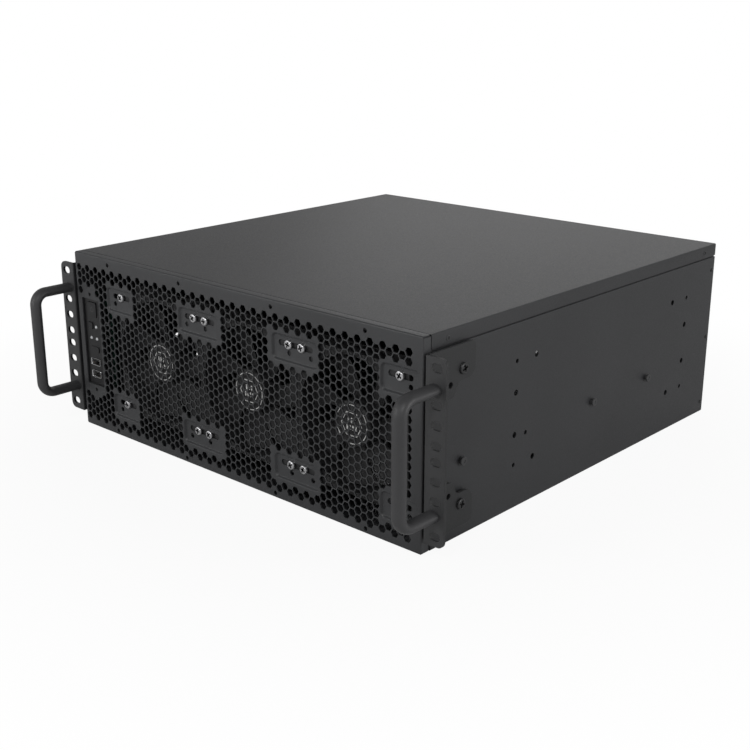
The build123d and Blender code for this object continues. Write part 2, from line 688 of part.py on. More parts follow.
def rear_panel():
    """Rear wall with its side flanges, slot windows, vents and the rail for the slot covers."""
    middle = (RAIL_TOP + SHEET) / 2
    sheet = Pos(0, middle) * Rectangle(2 * INNER_X, RAIL_TOP - SHEET)
    shield = (sum(SHIELD_X) / 2, sum(SHIELD_Z) / 2)
    cuts = [Pos(*shield) * Rectangle(SHIELD_X[1] - SHIELD_X[0], SHIELD_Z[1] - SHIELD_Z[0])]
    window_z = sum(SLOT_WINDOW_Z) / 2
    for x in slot_xs():
        cuts.append(Pos(x, window_z) * Rectangle(SLOT_WINDOW_W, SLOT_WINDOW_Z[1] - SLOT_WINDOW_Z[0]))
    psu_mid = (sum(PSU_X) / 2, sum(PSU_Z) / 2)
    psu_window = Rectangle(PSU_SIZE[0] - 2 * PSU_LIP[0], PSU_SIZE[2] - 2 * PSU_LIP[1])
    cuts.append(Pos(*psu_mid) * psu_window)
    for i in range(VENT_COUNT):
        vent = Rectangle(VENT_W, VENT_Z[1] - VENT_Z[0])
        cuts.append(Pos(VENT_FIRST_X + i * VENT_PITCH, sum(VENT_Z) / 2) * vent)
    body = through(sheet - cuts, REAR_Y, BODY_D)
    for side in (-1, 1):
        flange = sorted((side * STRIP_X, side * INNER_X))
        body += box(flange, (REAR_Y - REAR_FLANGE, REAR_Y), (6, STRIP_LOW - 1))
    ends = (SLOT_FIRST_X + 12, slot_xs()[-1] - 9.5)
    shelf = REAR_Y - SHELF_DEPTH
    body += box((ends[1], ends[0]), (shelf, REAR_Y - 1.4), (SHELF_Z - SHEET, SHELF_Z))
    for x in ends:
        side = 1 if x == ends[0] else -1
        gusset = sorted((x, x + side * SHEET))
        body += box(gusset, (shelf, REAR_Y), (SHELF_Z - 10, SHELF_Z))
    return body


def rear_rivets():
    heads = [rod_x(1.7, HALF_W, HALF_W + 0.5, RIVET_Y, z, HEAD_SIDES) for z in RIVET_Z]
    return both_sides(heads)


def slot_cover(x, width=COVER_PLATE_W):
    """Blanking plate with its top tab on the shelf."""
    half = width / 2
    plate = box((x - half, x + half), (REAR_Y - 1, REAR_Y), (14, SHELF_Z + 1))
    return plate + box((x - half, x + half), (REAR_Y - REAR_FLANGE, REAR_Y), (SHELF_Z, SHELF_Z + 1))


def port_blocks():
    """Rear connectors of the main board as x centre, width and height."""
    stacks = [(38.0 - i * 22, 16.0, 30.0) for i in range(3)]
    return [(82.0, 14.0, 31.0), (60.0, 17.0, 17.0), (-46.0, 22.0, 13.0)] + stacks


def io_shield():
    """Pressed shield that fills the board's window from inside."""
    x = SHIELD_X
    z = SHIELD_Z
    body = box((x[0] + 0.3, x[1] - 0.3), (REAR_Y - 1, BODY_D), (z[0] + 0.3, z[1] - 0.3))
    body += box((x[0] - 2, x[1] + 2), (REAR_Y - 1, REAR_Y), (z[0] - 1, z[1] + 3))
    for centre, width, height in port_blocks():
        half = width / 2 + 0.4
        top = BOARD_TOP + height + 0.4
        body -= box((centre - half, centre + half), (REAR_Y - 2, BODY_D + 1), (z[0] - 1, top))
    return body


def main_board():
    """Board with socket, memory and card slots, heat sinks and the rear connectors."""
    body = box(BOARD_X, (BOARD_Y[0], REAR_Y - 1.2), (BOARD_Z, BOARD_TOP))
    x, y = SOCKET
    half = SOCKET_HALF
    body += box((x - half, x + half), (y - half, y + half), (BOARD_TOP, BOARD_TOP + SOCKET_H))
    for centre, width, height in port_blocks():
        sides = (centre - width / 2, centre + width / 2)
        mouth = (sides[0] + 1.5, sides[1] - 1.5)
        block = box(sides, (BODY_D - 16, BODY_D + REAR_PROUD), (BOARD_TOP, BOARD_TOP + height))
        body += block - box(mouth, (BODY_D - 9, BODY_D + 2), (BOARD_TOP + 2, BOARD_TOP + 9))
    for slot_y in memory_ys():
        body += memory_slot(slot_y)
    for i in (0, 2, 4):
        body += card_slot(SLOT_FIRST_X - i * SLOT_PITCH)
    back = BODY_D
    body += heat_sink((-14, 88), (back - 54, back - 24), 24)
    body += heat_sink((-112, -92), (back - 236, back - 196), 8)
    body += box((82, 92), (back - 224, back - 172), (BOARD_TOP, BOARD_TOP + 12))
    body += rod_z(10, BOARD_TOP, BOARD_TOP + 4, -150, back - 146, HUB_SIDES)
    return body


def heat_sink(x, y, height):
    """A finned block, its fins standing along Y."""
    body = box(x, y, (BOARD_TOP, BOARD_TOP + height))
    for i in range(int((x[1] - x[0]) / SINK_PITCH)):
        gap = x[0] + SINK_GAP / 2 + i * SINK_PITCH
        body -= box((gap, gap + SINK_GAP), (y[0] - 1, y[1] + 1), (BOARD_TOP + 4, BOARD_TOP + height + 1))
    return body


def memory_ys():
    return [MEMORY_FIRST_Y + i * MEMORY_PITCH for i in range(MEMORY_COUNT)]


def memory_slot(y):
    low, high = MEMORY_X
    body = box((low, high), (y - 3.2, y + 3.2), (BOARD_TOP, BOARD_TOP + 8))
    return body - box((low + 4.5, high - 3.5), (y - 0.7, y + 0.7), (BOARD_TOP + 3, BOARD_TOP + 9))


def card_slot(x):
    low, high = CARD_SLOT_Y
    body = box((x - 3.7, x + 3.7), (low, high), (BOARD_TOP, BOARD_TOP + CARD_SLOT_H))
    return body - box((x - 0.9, x + 0.9), (low + 2, high - 2), (BOARD_TOP + 3.5, BOARD_TOP + 12))


def memory_modules():
    modules = []
    for y in memory_ys():
        low = MEMORY_X[0] + 4.8
        high = MEMORY_X[1] - 3.8
        card = box((low, high), (y - 0.6, y + 0.6), (BOARD_TOP + 3, BOARD_TOP + MEMORY_TOP))
        chips = box((low + 7, high - 7), (y - 1.6, y + 1.6), (BOARD_TOP + 12, BOARD_TOP + 30))
        modules.append(card + chips)
    return modules


def board_posts():
    posts = []
    for x in (BOARD_X[0] + 8, -60, 84):
        for y in (BOARD_Y[0] + 8, BODY_D - 120, BODY_D - 22):
            posts.append(rod_z(3, SHEET, BOARD_Z, x, y, SHANK_SIDES))
    return posts


def processor():
    x, y = SOCKET
    top = BOARD_TOP + SOCKET_H
    return box((x - LID_HALF, x + LID_HALF), (y - LID_HALF, y + LID_HALF), (top, top + LID_H))


def cooler():
    """Tower cooler: base, heat pipes and a stack of fins on a central spine."""
    x, y = SOCKET
    seat = BOARD_TOP + SOCKET_H + LID_H
    body = box((x - 24, x + 24), (y - 22, y + 22), (seat, seat + 10))
    body += box((x - 44, x + 44), (y - 9, y + 9), (seat, seat + 3))
    half_w, half_d = COOLER_HALF
    low = seat + COOLER_LIFT
    body += box((x - 26, x + 26), (y - 4, y + 4), (seat + 9, low + COOLER_FINS * COOLER_PITCH))
    for i in range(COOLER_FINS):
        z = low + i * COOLER_PITCH
        body += box((x - half_w, x + half_w), (y - half_d, y + half_d), (z, z + 1.0))
    return body


def cooler_fan_place():
    x, y = SOCKET
    low = BOARD_TOP + SOCKET_H + LID_H + COOLER_LIFT - 2
    return Pos(x, y - COOLER_HALF[1] - FAN_DEPTH, low + FAN / 2)


def graphics_card():
    """Card with its edge tongue in the first slot and a double bracket on the shelf."""
    x = SLOT_FIRST_X
    body = box((x - 0.8, x + 0.8), CARD_Y, (BOARD_TOP + 13, CARD_TOP))
    tongue = (CARD_SLOT_Y[0] + 3, CARD_SLOT_Y[1] - 3)
    body += box((x - 0.8, x + 0.8), tongue, (BOARD_TOP + 3.5, BOARD_TOP + 13))
    middle = x - SLOT_PITCH / 2
    body += box((x - 0.8, x + 6), (CARD_Y[1] - 2, REAR_Y - 1), (60, 70))
    body += box((x - 0.8, x + 0.8), (CARD_Y[1] - 1, REAR_Y - 0.5), (BOARD_TOP + 15, CARD_TOP - 20))
    return body + slot_cover(middle, COVER_PLATE_W + SLOT_PITCH)


def graphics_shroud():
    """Closed duct over the card with the blower's round well and its fixed pin."""
    back = SLOT_FIRST_X - 0.8
    body = box((SHROUD_X, back), (CARD_Y[0], CARD_Y[1] - 4), (BOARD_TOP + 15, CARD_TOP))
    body = chamfer(body.faces().sort_by(Axis.X)[0].edges(), 3)
    body -= rod_x(BLOWER_R + 2.5, SHROUD_X - 1, back - 4, BLOWER_Y, BLOWER_Z, BORE_SIDES)
    return body + rod_x(PIN_R, SHROUD_X + 6, back - 4, BLOWER_Y, BLOWER_Z)


def blower_rotor():
    """Radial impeller: hub, back disc and upright vanes."""
    back = SLOT_FIRST_X - 5.4
    front = SHROUD_X + 3
    body = rod_x(BLOWER_R, back - 1.6, back, BLOWER_Y, BLOWER_Z, BORE_SIDES)
    body += rod_x(14, front + 3, back, BLOWER_Y, BLOWER_Z, HUB_SIDES)
    vane = box((front, back - 1), (BLOWER_R - 10, BLOWER_R - 1), (-0.6, 0.6))
    for i in range(BLOWER_VANES):
        body += Pos(0, BLOWER_Y, BLOWER_Z) * Rot(i * 360 / BLOWER_VANES, 0, 0) * vane
    return body - rod_x(PIN_R + RUNNING, SHROUD_X + 5, back + 1, BLOWER_Y, BLOWER_Z)


# Power supply


def supply_case():
    """Sheet case with a barred fan opening facing the board and ports at the rear."""
    body = box(PSU_X, PSU_Y, PSU_Z)
    inner = [(a[0] + SHEET, a[1] - SHEET) for a in (PSU_X, PSU_Y, PSU_Z)]
    body -= box(*inner)
    y = sum(PSU_Y) / 2
    z = sum(PSU_Z) / 2
    face = PSU_X[0]
    body -= rod_x(PSU_FAN_R, face - 1, face + SHEET, y, z, BORE_SIDES)
    for angle in (45, 135):
        bar = box((face, face + SHEET), (-PSU_FAN_R - 1, PSU_FAN_R + 1), (-4, 4))
        body += Pos(0, y, z) * Rot(angle, 0, 0) * bar
    body += rod_x(SUPPLY_HUB_R - 2, face, face + SHEET, y, z, HUB_SIDES)
    body += rod_x(PIN_R, face, face + 22, y, z)
    rear = (PSU_Y[1] - 5, PSU_Y[1] + 1)
    for row in range(5):
        slot_z = 16 + row * 9
        body -= box((PSU_X[0] + 10, PSU_X[1] - 10), rear, (slot_z, slot_z + 4.5))
    for (half_w, half_h), middle in ((PORT_HALF, INLET_Z), (ROCKER_HALF, ROCKER_Z)):
        port = (PSU_PORT_X - half_w, PSU_PORT_X + half_w)
        body -= box(port, rear, (middle - half_h, middle + half_h))
    return body


def supply_rotor():
    y = sum(PSU_Y) / 2
    z = sum(PSU_Z) / 2
    start = PSU_X[0] + SHEET + 1
    body = rod_x(SUPPLY_HUB_R, start, start + 18, y, z, HUB_SIDES)
    blade = Rot(0, 0, BLADE_PITCH) * box((-0.8, 0.8), (-11, 11), (SUPPLY_HUB_R - 2, PSU_FAN_R - 5))
    for i in range(SUPPLY_BLADES):
        body += Pos(start + 9, y, z) * Rot(i * 360 / SUPPLY_BLADES, 0, 0) * blade
    return body - rod_x(PIN_R + RUNNING, start - 1, start + 19, y, z)


def supply_inlet():
    """Appliance inlet with three blades in its well."""
    x = PSU_PORT_X
    y = PSU_Y[1]
    half_w = PORT_HALF[0] - 0.2
    half_h = PORT_HALF[1] - 0.2
    body = box((x - half_w, x + half_w), (y - 20, y), (INLET_Z - half_h, INLET_Z + half_h))
    body = chamfer(body.edges().filter_by(Axis.Y).sort_by(Axis.Z)[-2:], 4)
    body -= box((x - 12, x + 12), (y - 15, y + 1), (INLET_Z - 8, INLET_Z + 5))
    for blade in (-7, 0, 7):
        body += box((x + blade - 1, x + blade + 1), (y - 16, y - 4), (INLET_Z - 7, INLET_Z - 3))
    return body


def rocker_frame():
    """Bezel of the supply's switch with its two pivot bosses."""
    x = PSU_PORT_X
    y = PSU_Y[1]
    half_w = ROCKER_HALF[0] - 0.2
    half_h = ROCKER_HALF[1] - 0.2
    body = box((x - half_w, x + half_w), (y - 14, y), (ROCKER_Z - half_h, ROCKER_Z + half_h))
    body -= box((x - 8.3, x + 8.3), (y - 12, y + 1), (ROCKER_Z - 5.6, ROCKER_Z + 5.6))
    return body - rod_z(1 + RUNNING, ROCKER_Z - 7.5, ROCKER_Z + 7.5, x, y - 4)


def rocker():
    """Two-position paddle, rocked about an upright pin."""
    x = PSU_PORT_X
    y = PSU_Y[1]
    outline = Polyline((-7, 1), (-7, 4.8), (0, 2.8), (7, 4.8), (7, 1), (0, -2), close=True)
    tilted = Rot(0, 0, ROCKER_TILT) * extrude(make_face(outline), amount=10)
    return Pos(x, y - 4, ROCKER_Z - 5) * tilted + rod_z(1, ROCKER_Z - 6.6, ROCKER_Z + 6.6, x, y - 4)


# Drives


def drive_cage():
    inner = (CAGE_X[0] + SHEET, CAGE_X[1] - SHEET)
    body = box(CAGE_X, CAGE_Y, (SHEET, 2 * SHEET))
    half_l, half_h = CAGE_SLOT_HALF
    for x in (CAGE_X[0], inner[1]):
        wall = box((x, x + SHEET), CAGE_Y, (SHEET, CAGE_H))
        for y in CAGE_SLOT_Y:
            for z in CAGE_SLOT_Z:
                wall -= box((x - 1, x + 3), (y - half_l, y + half_l), (z - half_h, z + half_h))
        body += wall
    return body


def drive(low):
    """A closed drive with its cast edge and circuit side step."""
    x = (CAGE_X[0] + SHEET, CAGE_X[1] - SHEET)
    body = box(x, (CAGE_Y[0] + 1, CAGE_Y[0] + 1 + DRIVE_L), (low, low + DRIVE_H))
    body = chamfer(body.edges().filter_by(Axis.Z), 3)
    step_y = (CAGE_Y[0] + 10, CAGE_Y[0] + DRIVE_L - 10)
    return body - box((x[0] + 8, x[1] - 8), step_y, (low + DRIVE_H - 2, low + DRIVE_H + 1))


def build():
    os.makedirs("parts", exist_ok=True)
    save("chassis_tray", tray())
    save("front_grille_panel", front_panel())
    save("top_cover", top_cover())
    save("cover_screws", *cover_screws())
    save("rail_studs", *rail_studs())
    right_ear = ear()
    save("rack_ear_right", right_ear)
    save("rack_ear_left", mirrored(right_ear))
    save("ear_screws", *ear_screws())
    right_handle = handle()
    save("handle_right", right_handle)
    save("handle_left", mirrored(right_handle))
    save("handle_screws", *handle_screws())
    frame = front_fan_frame()
    rotor = front_fan_rotor()
    for name, x in zip(("left", "middle", "right"), FAN_X):
        save(f"fan_frame_{name}", Pos(x, FAN_Y, MID_Z) * frame)
        save(f"fan_rotor_{name}", Pos(x, FAN_Y, MID_Z) * rotor)
    save("fan_screws", *fan_screws())
    save("control_housing", control_housing())
    save("control_screws", *control_screws())
    save("power_button", button(POWER_W, POWER_H, CONTROL_X, POWER_Z, POWER_TRAVEL))
    save("reset_button", button(RESET_W, RESET_W, RESET_X, RESET_Z, RESET_TRAVEL))
    save("status_lights", *status_lights())
    save("usb_port_upper", usb_port(USB_Z[0]))
    save("usb_port_lower", usb_port(USB_Z[1]))
    save("control_board", control_board())
    save("rear_panel", rear_panel())
    save("rear_rivets", *rear_rivets())
    save("slot_covers", *[slot_cover(x) for x in slot_xs()[2:]])
    save("io_shield", io_shield())
    save("main_board", main_board())
    save("memory_modules", *memory_modules())
    save("board_posts", *board_posts())
    save("processor", processor())
    save("cooler", cooler())
    save("cooler_fan_frame", cooler_fan_place() * frame)
    save("cooler_fan_rotor", cooler_fan_place() * rotor)
    save("graphics_card", graphics_card())
    save("graphics_shroud", graphics_shroud())
    save("blower_rotor", blower_rotor())
    save("supply_case", supply_case())
    save("supply_rotor", supply_rotor())
    save("supply_inlet", supply_inlet())
    save("rocker_frame", rocker_frame())
    save("rocker", rocker())
    save("drive_cage", drive_cage())
    save("drive_lower", drive(2 * SHEET))
    save("drive_upper", drive(2 * SHEET + DRIVE_H + 12))


build()
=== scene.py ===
import math

import bmesh
import bpy
from mathutils import Matrix, Vector
from mathutils.geometry import delaunay_2d_cdt


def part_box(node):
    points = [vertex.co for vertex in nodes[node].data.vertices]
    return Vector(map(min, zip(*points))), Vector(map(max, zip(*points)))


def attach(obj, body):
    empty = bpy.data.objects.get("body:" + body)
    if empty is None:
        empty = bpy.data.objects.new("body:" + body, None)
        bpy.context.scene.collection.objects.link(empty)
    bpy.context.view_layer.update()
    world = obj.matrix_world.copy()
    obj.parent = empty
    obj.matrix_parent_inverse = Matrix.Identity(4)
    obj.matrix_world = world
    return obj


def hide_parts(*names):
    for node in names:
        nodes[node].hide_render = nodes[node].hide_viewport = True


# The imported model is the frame; sizes below are millimetres from the middle of the
# front panel's lower edge: x to the right, y backwards, z up. at() turns them into metres.
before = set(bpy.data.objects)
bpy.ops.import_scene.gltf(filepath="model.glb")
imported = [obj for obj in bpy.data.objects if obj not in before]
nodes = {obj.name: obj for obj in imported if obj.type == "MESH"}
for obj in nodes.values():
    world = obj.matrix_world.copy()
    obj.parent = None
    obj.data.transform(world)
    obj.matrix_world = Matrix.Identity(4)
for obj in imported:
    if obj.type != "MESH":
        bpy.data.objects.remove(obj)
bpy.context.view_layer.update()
MM = 0.001
FRONT_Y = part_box("front_grille_panel")[0][1]
BODY_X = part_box("front_grille_panel")[1][0] / MM
BODY_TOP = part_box("top_cover")[1][2] / MM
BODY_BACK = (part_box("top_cover")[1][1] - FRONT_Y) / MM
MID_Z = BODY_TOP / 2
SHEET = 1.2
BEND = 1.3

# Cover and tray
COVER_FRONT = 8.8
COVER_LIP = 163.2
COVER_SCREW_YS = (28, 424)
COVER_SCREW_Z = 168
TRAY_FRONT = 10.8
WALL_TOP = 161.6
WALL_FOOT = 4.5
RAIL_FRONT = 24
RAIL_TOP = 173.2
RAIL_HOLE_R = 1.9
WIDE_HOLE_R = 2.6
STUD_YS = (46.5, 233, 326)
STUD_Z = 65
RIVET_Y = 441.5
RIVET_ZS = (11, 80, 148.5)

# Pattern of the grille
HEX_FLATS = 6.5
HEX_COLUMN = 6.515
HEX_ROW = 7.523
HEX_LEFT = -212.5
HEX_TOP = 160.4
HEX_COLUMNS = 65
HEX_ROWS = 21
EDGE_HOLE_XS = (-166.5, -62, 56, 160.5)
EDGE_HOLE_ZS = (168.3, 4.3)
EDGE_HOLE_R = 2.0

# Pads and fans
FAN_PITCH = 120.0
FAN_SCREWS = 105.0
FAN_GROUP_X = 22.5
FAN_X = (FAN_GROUP_X - FAN_PITCH, FAN_GROUP_X, FAN_GROUP_X + FAN_PITCH)
FAN_Y = 3.2
FAN_DEPTH = 25.0
FAN_SIZE = 119.6
FAN_BORE = 57.0
FAN_CORNER = 6
FAN_FLANGE = 4
HUB_R = 20
BLADE_COUNT = 7
BLADE_ROOT = 19.5
BLADE_TIP = 55.3
PAD_H = 23.1
PAD_DROP = 3.55
PAD_DEPTH = 2.0
PAD_ROUND = 5.0
PAD_WALL = 1.8
SHORT_SLOT = 25.0
LONG_SLOT = 39.5
PAD_SLOT_W = 5
PAD_HOLE_SINGLE = 10
PAD_HOLE_PAIR = 25
PAD_HOLE_DROP = 7.3
PAD_HOLE_R = 2.3
PAD_BLANK_X = 2.2
PAD_BLANK_Z = 3.8
PAD_SIDES = ((-173.25, 39.5), (-60.2, 53.5), (60.2, 53.5), (173.25, 39.5))
PAD_ROWS = (MID_Z + FAN_SCREWS / 2, MID_Z - FAN_SCREWS / 2)

# Control strip
CONTROL_X = -198.3
CONTROL_W = 26.5
CONTROL_H = 86.5
CONTROL_SCREW = 48.0
CONTROL_SCREW_R = 1.9
CONTROL_SCREW_BLANK = 10.1
CONTROL_BLANK_X = -186
CONTROL_BLANK_HALF = 50
SOCKETS = (("upper", 67.2), ("lower", 54.9))
SOCKET_BACK = 15.3
LIGHTS = ((-194.3, 103), (-203.2, 91), (-194.3, 91))
MARK_Z = 120
MARK_Y = 1.08

# Ears and handles
EAR_IN = 221.2
EAR_T = 2.5
EAR_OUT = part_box("rack_ear_right")[1][0] / MM
EAR_HALF = 74.9
EAR_FRONT = -1.2
EAR_BEND = 1.2
EAR_SLOT_X = 232.56
EAR_SLOT = (10.3, 7.1)
RACK_HALVES = (6.35, 22.225, 38.1, 66.675)
EAR_SCREW = (40.5, 55.5)
EAR_HOLE = (25.8, 45.1)
EAR_HOLE_R = 2.5
EAR_GAP = 2.5
HANDLE_X = 230.2
HANDLE_HALF = 50.0
HANDLE_REACH = 39.5
HANDLE_BEND = 11.5
HANDLE_WIDE = 6.5
HANDLE_THICK = 4.6
HANDLE_SIDES = 40

# Rear and board
SLOT_FIRST = -84
SLOT_PITCH = 20.32
SLOT_COUNT = 7
SLOT_SCREW_Z = 129.1
SUPPLY_SCREWS = ((134.5, 145), (205.5, 145), (134.5, 9), (205.5, 9))
BOARD_TOP = 9.35
PORT_LOW = 2

# Lamps as place, aim, size and power, and the camera; lamps in metres
LAMPS = {
    "rear": ((-0.9, 2.6, 1.35), (0, 0.1, 0.17), (3.0, 1.4), 9.5),
    "front_left": ((-1.7, -2.4, 0.75), (0, -0.2, 0.08), (1.6, 1.2), 17),
    "right": ((2.5, 0.5, 0.8), (0.2, 0, 0.08), (1.4, 1.2), 22),
    "glint": ((0.9, -2.1, 1.9), (0, -0.2, 0.08), (0.4, 0.4), 16),
}
CAMERA_PLACE = (747.5, -632.6, 414.6)
CAMERA_DOWN = 18.07
CAMERA_TURN = 42.35
CAMERA_LENS = 57.08


def at(x, y, z):
    """A point given in millimetres from the panel's lower edge, in metres of the frame."""
    return Vector((x * MM, FRONT_Y + y * MM, z * MM))


# Materials


def new_material(name):
    material = bpy.data.materials.new(name)
    material.use_nodes = True
    tree = material.node_tree
    return material, tree, tree.nodes["Principled BSDF"]


def add(tree, kind, **values):
    node = tree.nodes.new(kind)
    for key, value in values.items():
        if key in node.inputs:
            node.inputs[key].default_value = value
        else:
            setattr(node, key, value)
    return node


def mapped(tree, source, start, end, low, high):
    """A value mapped from start..end to low..high."""
    node = add(tree, "ShaderNodeMapRange")
    for key, value in (("From Min", start), ("From Max", end), ("To Min", low), ("To Max", high)):
        node.inputs[key].default_value = value
    tree.links.new(source, node.inputs["Value"])
    return node.outputs["Result"]


def speckled(tree, scale, low, high, detail=3.0, coords=None):
    """A noise mapped to the range low..high."""
    noise = add(tree, "ShaderNodeTexNoise", Scale=scale, Detail=detail)
    noise.normalize = True
    tree.links.new(coords or object_coords(tree), noise.inputs["Vector"])
    return mapped(tree, noise.outputs["Fac"], 0.3, 0.7, low, high)


def object_coords(tree):
    found = tree.nodes.get("coords")
    if not found:
        found = add(tree, "ShaderNodeTexCoord")
        found.name = "coords"
    return found.outputs["Object"]


def tinted(tree, shader, color, spread, scale):
    """Base colour with a soft, large-scale variation of its value."""
    mix = add(tree, "ShaderNodeMix", data_type="RGBA")
    mix.inputs["A"].default_value = [c * (1 - spread) for c in color] + [1]
    mix.inputs["B"].default_value = [c * (1 + spread) for c in color] + [1]
    tree.links.new(speckled(tree, scale, 0.0, 1.0), mix.inputs["Factor"])
    tree.links.new(mix.outputs["Result"], shader.inputs["Base Color"])


def bumped(tree, shader, scale, strength, distance, detail=3.0):
    bump = add(tree, "ShaderNodeBump", Strength=strength, Distance=distance)
    tree.links.new(speckled(tree, scale, 0.0, 1.0, detail), bump.inputs["Height"])
    tree.links.new(bump.outputs["Normal"], shader.inputs["Normal"])


def coated(name, color, rough, grain=2600, depth=0.00003, spread=0.1, metal=0.0):
    """Powder coat, moulded plastic or bare metal with a fine grain."""
    material, tree, shader = new_material(name)
    shader.inputs["Metallic"].default_value = metal
    tinted(tree, shader, color, spread, 9)
    tree.links.new(speckled(tree, grain * 0.4, rough - 0.06, rough + 0.06), shader.inputs["Roughness"])
    bumped(tree, shader, grain, 0.5, depth)
    return material


def brushed(name, color, rough, stretch):
    """Bare metal with fine lines, drawn out along one axis."""
    material, tree, shader = new_material(name)
    shader.inputs["Metallic"].default_value = 1.0
    mapping = add(tree, "ShaderNodeMapping", Scale=stretch)
    tree.links.new(object_coords(tree), mapping.inputs["Vector"])
    lines = mapping.outputs["Vector"]
    tinted(tree, shader, color, 0.08, 14)
    tree.links.new(speckled(tree, 900, rough - 0.08, rough + 0.1, 2, lines), shader.inputs["Roughness"])
    bump = add(tree, "ShaderNodeBump", Strength=0.25, Distance=0.00002)
    tree.links.new(speckled(tree, 900, 0, 1, 2, lines), bump.inputs["Height"])
    tree.links.new(bump.outputs["Normal"], shader.inputs["Normal"])
    return material


SHEET_GREY = coated("powder_coat", (0.026, 0.0265, 0.0285), 0.46)
FACE_GREY = coated("powder_coat_face", (0.04, 0.041, 0.0435), 0.44)
EAR_GREY = coated("powder_coat_ear", (0.039, 0.0395, 0.041), 0.44)
# Darker copy of the ear's coat for the faces of the ear that look sideways: painted shade on the side leaf.
LEAF_SHADE_GREY = coated("powder_coat_leaf", (0.017, 0.0174, 0.0185), 0.47)
BAR_BLACK = coated("bar_black", (0.046, 0.046, 0.048), 0.48, grain=3200, depth=0.00002)
PLASTIC = coated("moulded_black", (0.012, 0.012, 0.013), 0.42, grain=3000)
FAN_BLACK = coated("fan_black", (0.017, 0.017, 0.018), 0.62, grain=1800, depth=0.00001)
SCREW_BLACK = coated("screw_black", (0.02, 0.02, 0.021), 0.32, grain=1500, depth=0.00001, metal=0.6)
SCREW_GREY = coated("screw_grey", (0.06, 0.06, 0.062), 0.38, grain=1500, depth=0.00001, metal=0.7)
ZINC = brushed("zinc", (0.66, 0.66, 0.67), 0.3, (1, 1, 6))
STEEL = brushed("shield_steel", (0.56, 0.56, 0.57), 0.34, (6, 1, 1))
ALUMINIUM = brushed("aluminium", (0.7, 0.7, 0.71), 0.36, (1, 6, 1))
BRASS = brushed("brass", (0.72, 0.52, 0.22), 0.32, (1, 1, 3))
BOARD = coated("board_mask", (0.006, 0.02, 0.014), 0.35, grain=700, depth=0.00002, spread=0.25)
PRINT_WHITE = coated("print_white", (0.75, 0.75, 0.74), 0.5, grain=1500, depth=0.000005, spread=0.03)
MARK_GREY = coated("mark_grey", (0.08, 0.08, 0.082), 0.5, grain=1500, depth=0.000005, spread=0.05)
# Dark zinc for the tongues of the rear ports, and painted shade in the cross recesses of the pan heads.
DARK_ZINC_AND_RECESS_SHADE = brushed("zinc_dark", (0.12, 0.12, 0.125), 0.42, (1, 1, 6))
LAMP = coated("light_pipe", (0.78, 0.8, 0.82), 0.25, grain=900, depth=0.00001, spread=0.03)


# Building helpers


def piece(name, verts, faces, material, body="chassis", replaced=(), smooth=0.0):
    """A mesh from millimetre points, made to ride on a body."""
    mesh = bpy.data.meshes.new(name)
    mesh.from_pydata([at(*v) for v in verts], [], faces)
    mesh.materials.append(material)
    obj = bpy.data.objects.new(name, mesh)
    bpy.context.scene.collection.objects.link(obj)
    return settled(obj, body, replaced, smooth)


def settled(obj, body="chassis", replaced=(), smooth=0.0):
    """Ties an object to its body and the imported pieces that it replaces."""
    if smooth:
        for polygon in obj.data.polygons:
            polygon.use_smooth = True
        obj.data.set_sharp_from_angle(angle=math.radians(smooth))
    if replaced:
        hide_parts(*replaced)
    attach(obj, body)
    return obj


def circle(x, z, radius, count=24, start=0.0):
    steps = [math.radians(start + 360 * i / count) for i in range(count)]
    return [(x + radius * math.cos(a), z + radius * math.sin(a)) for a in steps]


def rounded_box(x, z, width, height, radius, per_corner=6):
    """A rectangle with round corners, anticlockwise."""
    points = []
    w, h = width / 2 - radius, height / 2 - radius
    for cx, cz, turn in ((w, h, 0), (-w, h, 90), (-w, -h, 180), (w, -h, 270)):
        for i in range(per_corner + 1):
            a = math.radians(turn + 90 * i / per_corner)
            points.append((x + cx + radius * math.cos(a), z + cz + radius * math.sin(a)))
    return points


def rounded(points, radii, per_corner=6):
    """A polygon whose corners are cut to arcs of the given radii."""
    result = []
    for i, (x, z) in enumerate(points):
        radius = radii[i]
        if radius == 0:
            result.append((x, z))
            continue
        here = Vector((x, z))
        before = (Vector(points[i - 1]) - here).normalized()
        after = (Vector(points[(i + 1) % len(points)]) - here).normalized()
        half = before.angle(after) / 2
        middle = here + (before + after).normalized() * (radius / math.sin(half))
        first = here + before * (radius / math.tan(half)) - middle
        last = here + after * (radius / math.tan(half)) - middle
        for k in range(per_corner + 1):
            spoke = first.normalized().slerp(last.normalized(), k / per_corner).normalized() * radius
            result.append(tuple(middle + spoke))
    return result


def plate(outline, holes):
    """Flat triangles that fill the outline around its holes."""
    loops = [outline] + list(holes)
    points = [Vector(p) for loop in loops for p in loop]
    faces = []
    start = 0
    for loop in loops:
        faces.append(list(range(start, start + len(loop))))
        start += len(loop)
    verts, _, tris, _, _, sources = delaunay_2d_cdt(points, [], faces, 1, 1e-5)
    kept = [list(t) for t, source in zip(tris, sources) if list(source) == [0]]
    return [tuple(v) for v in verts], kept


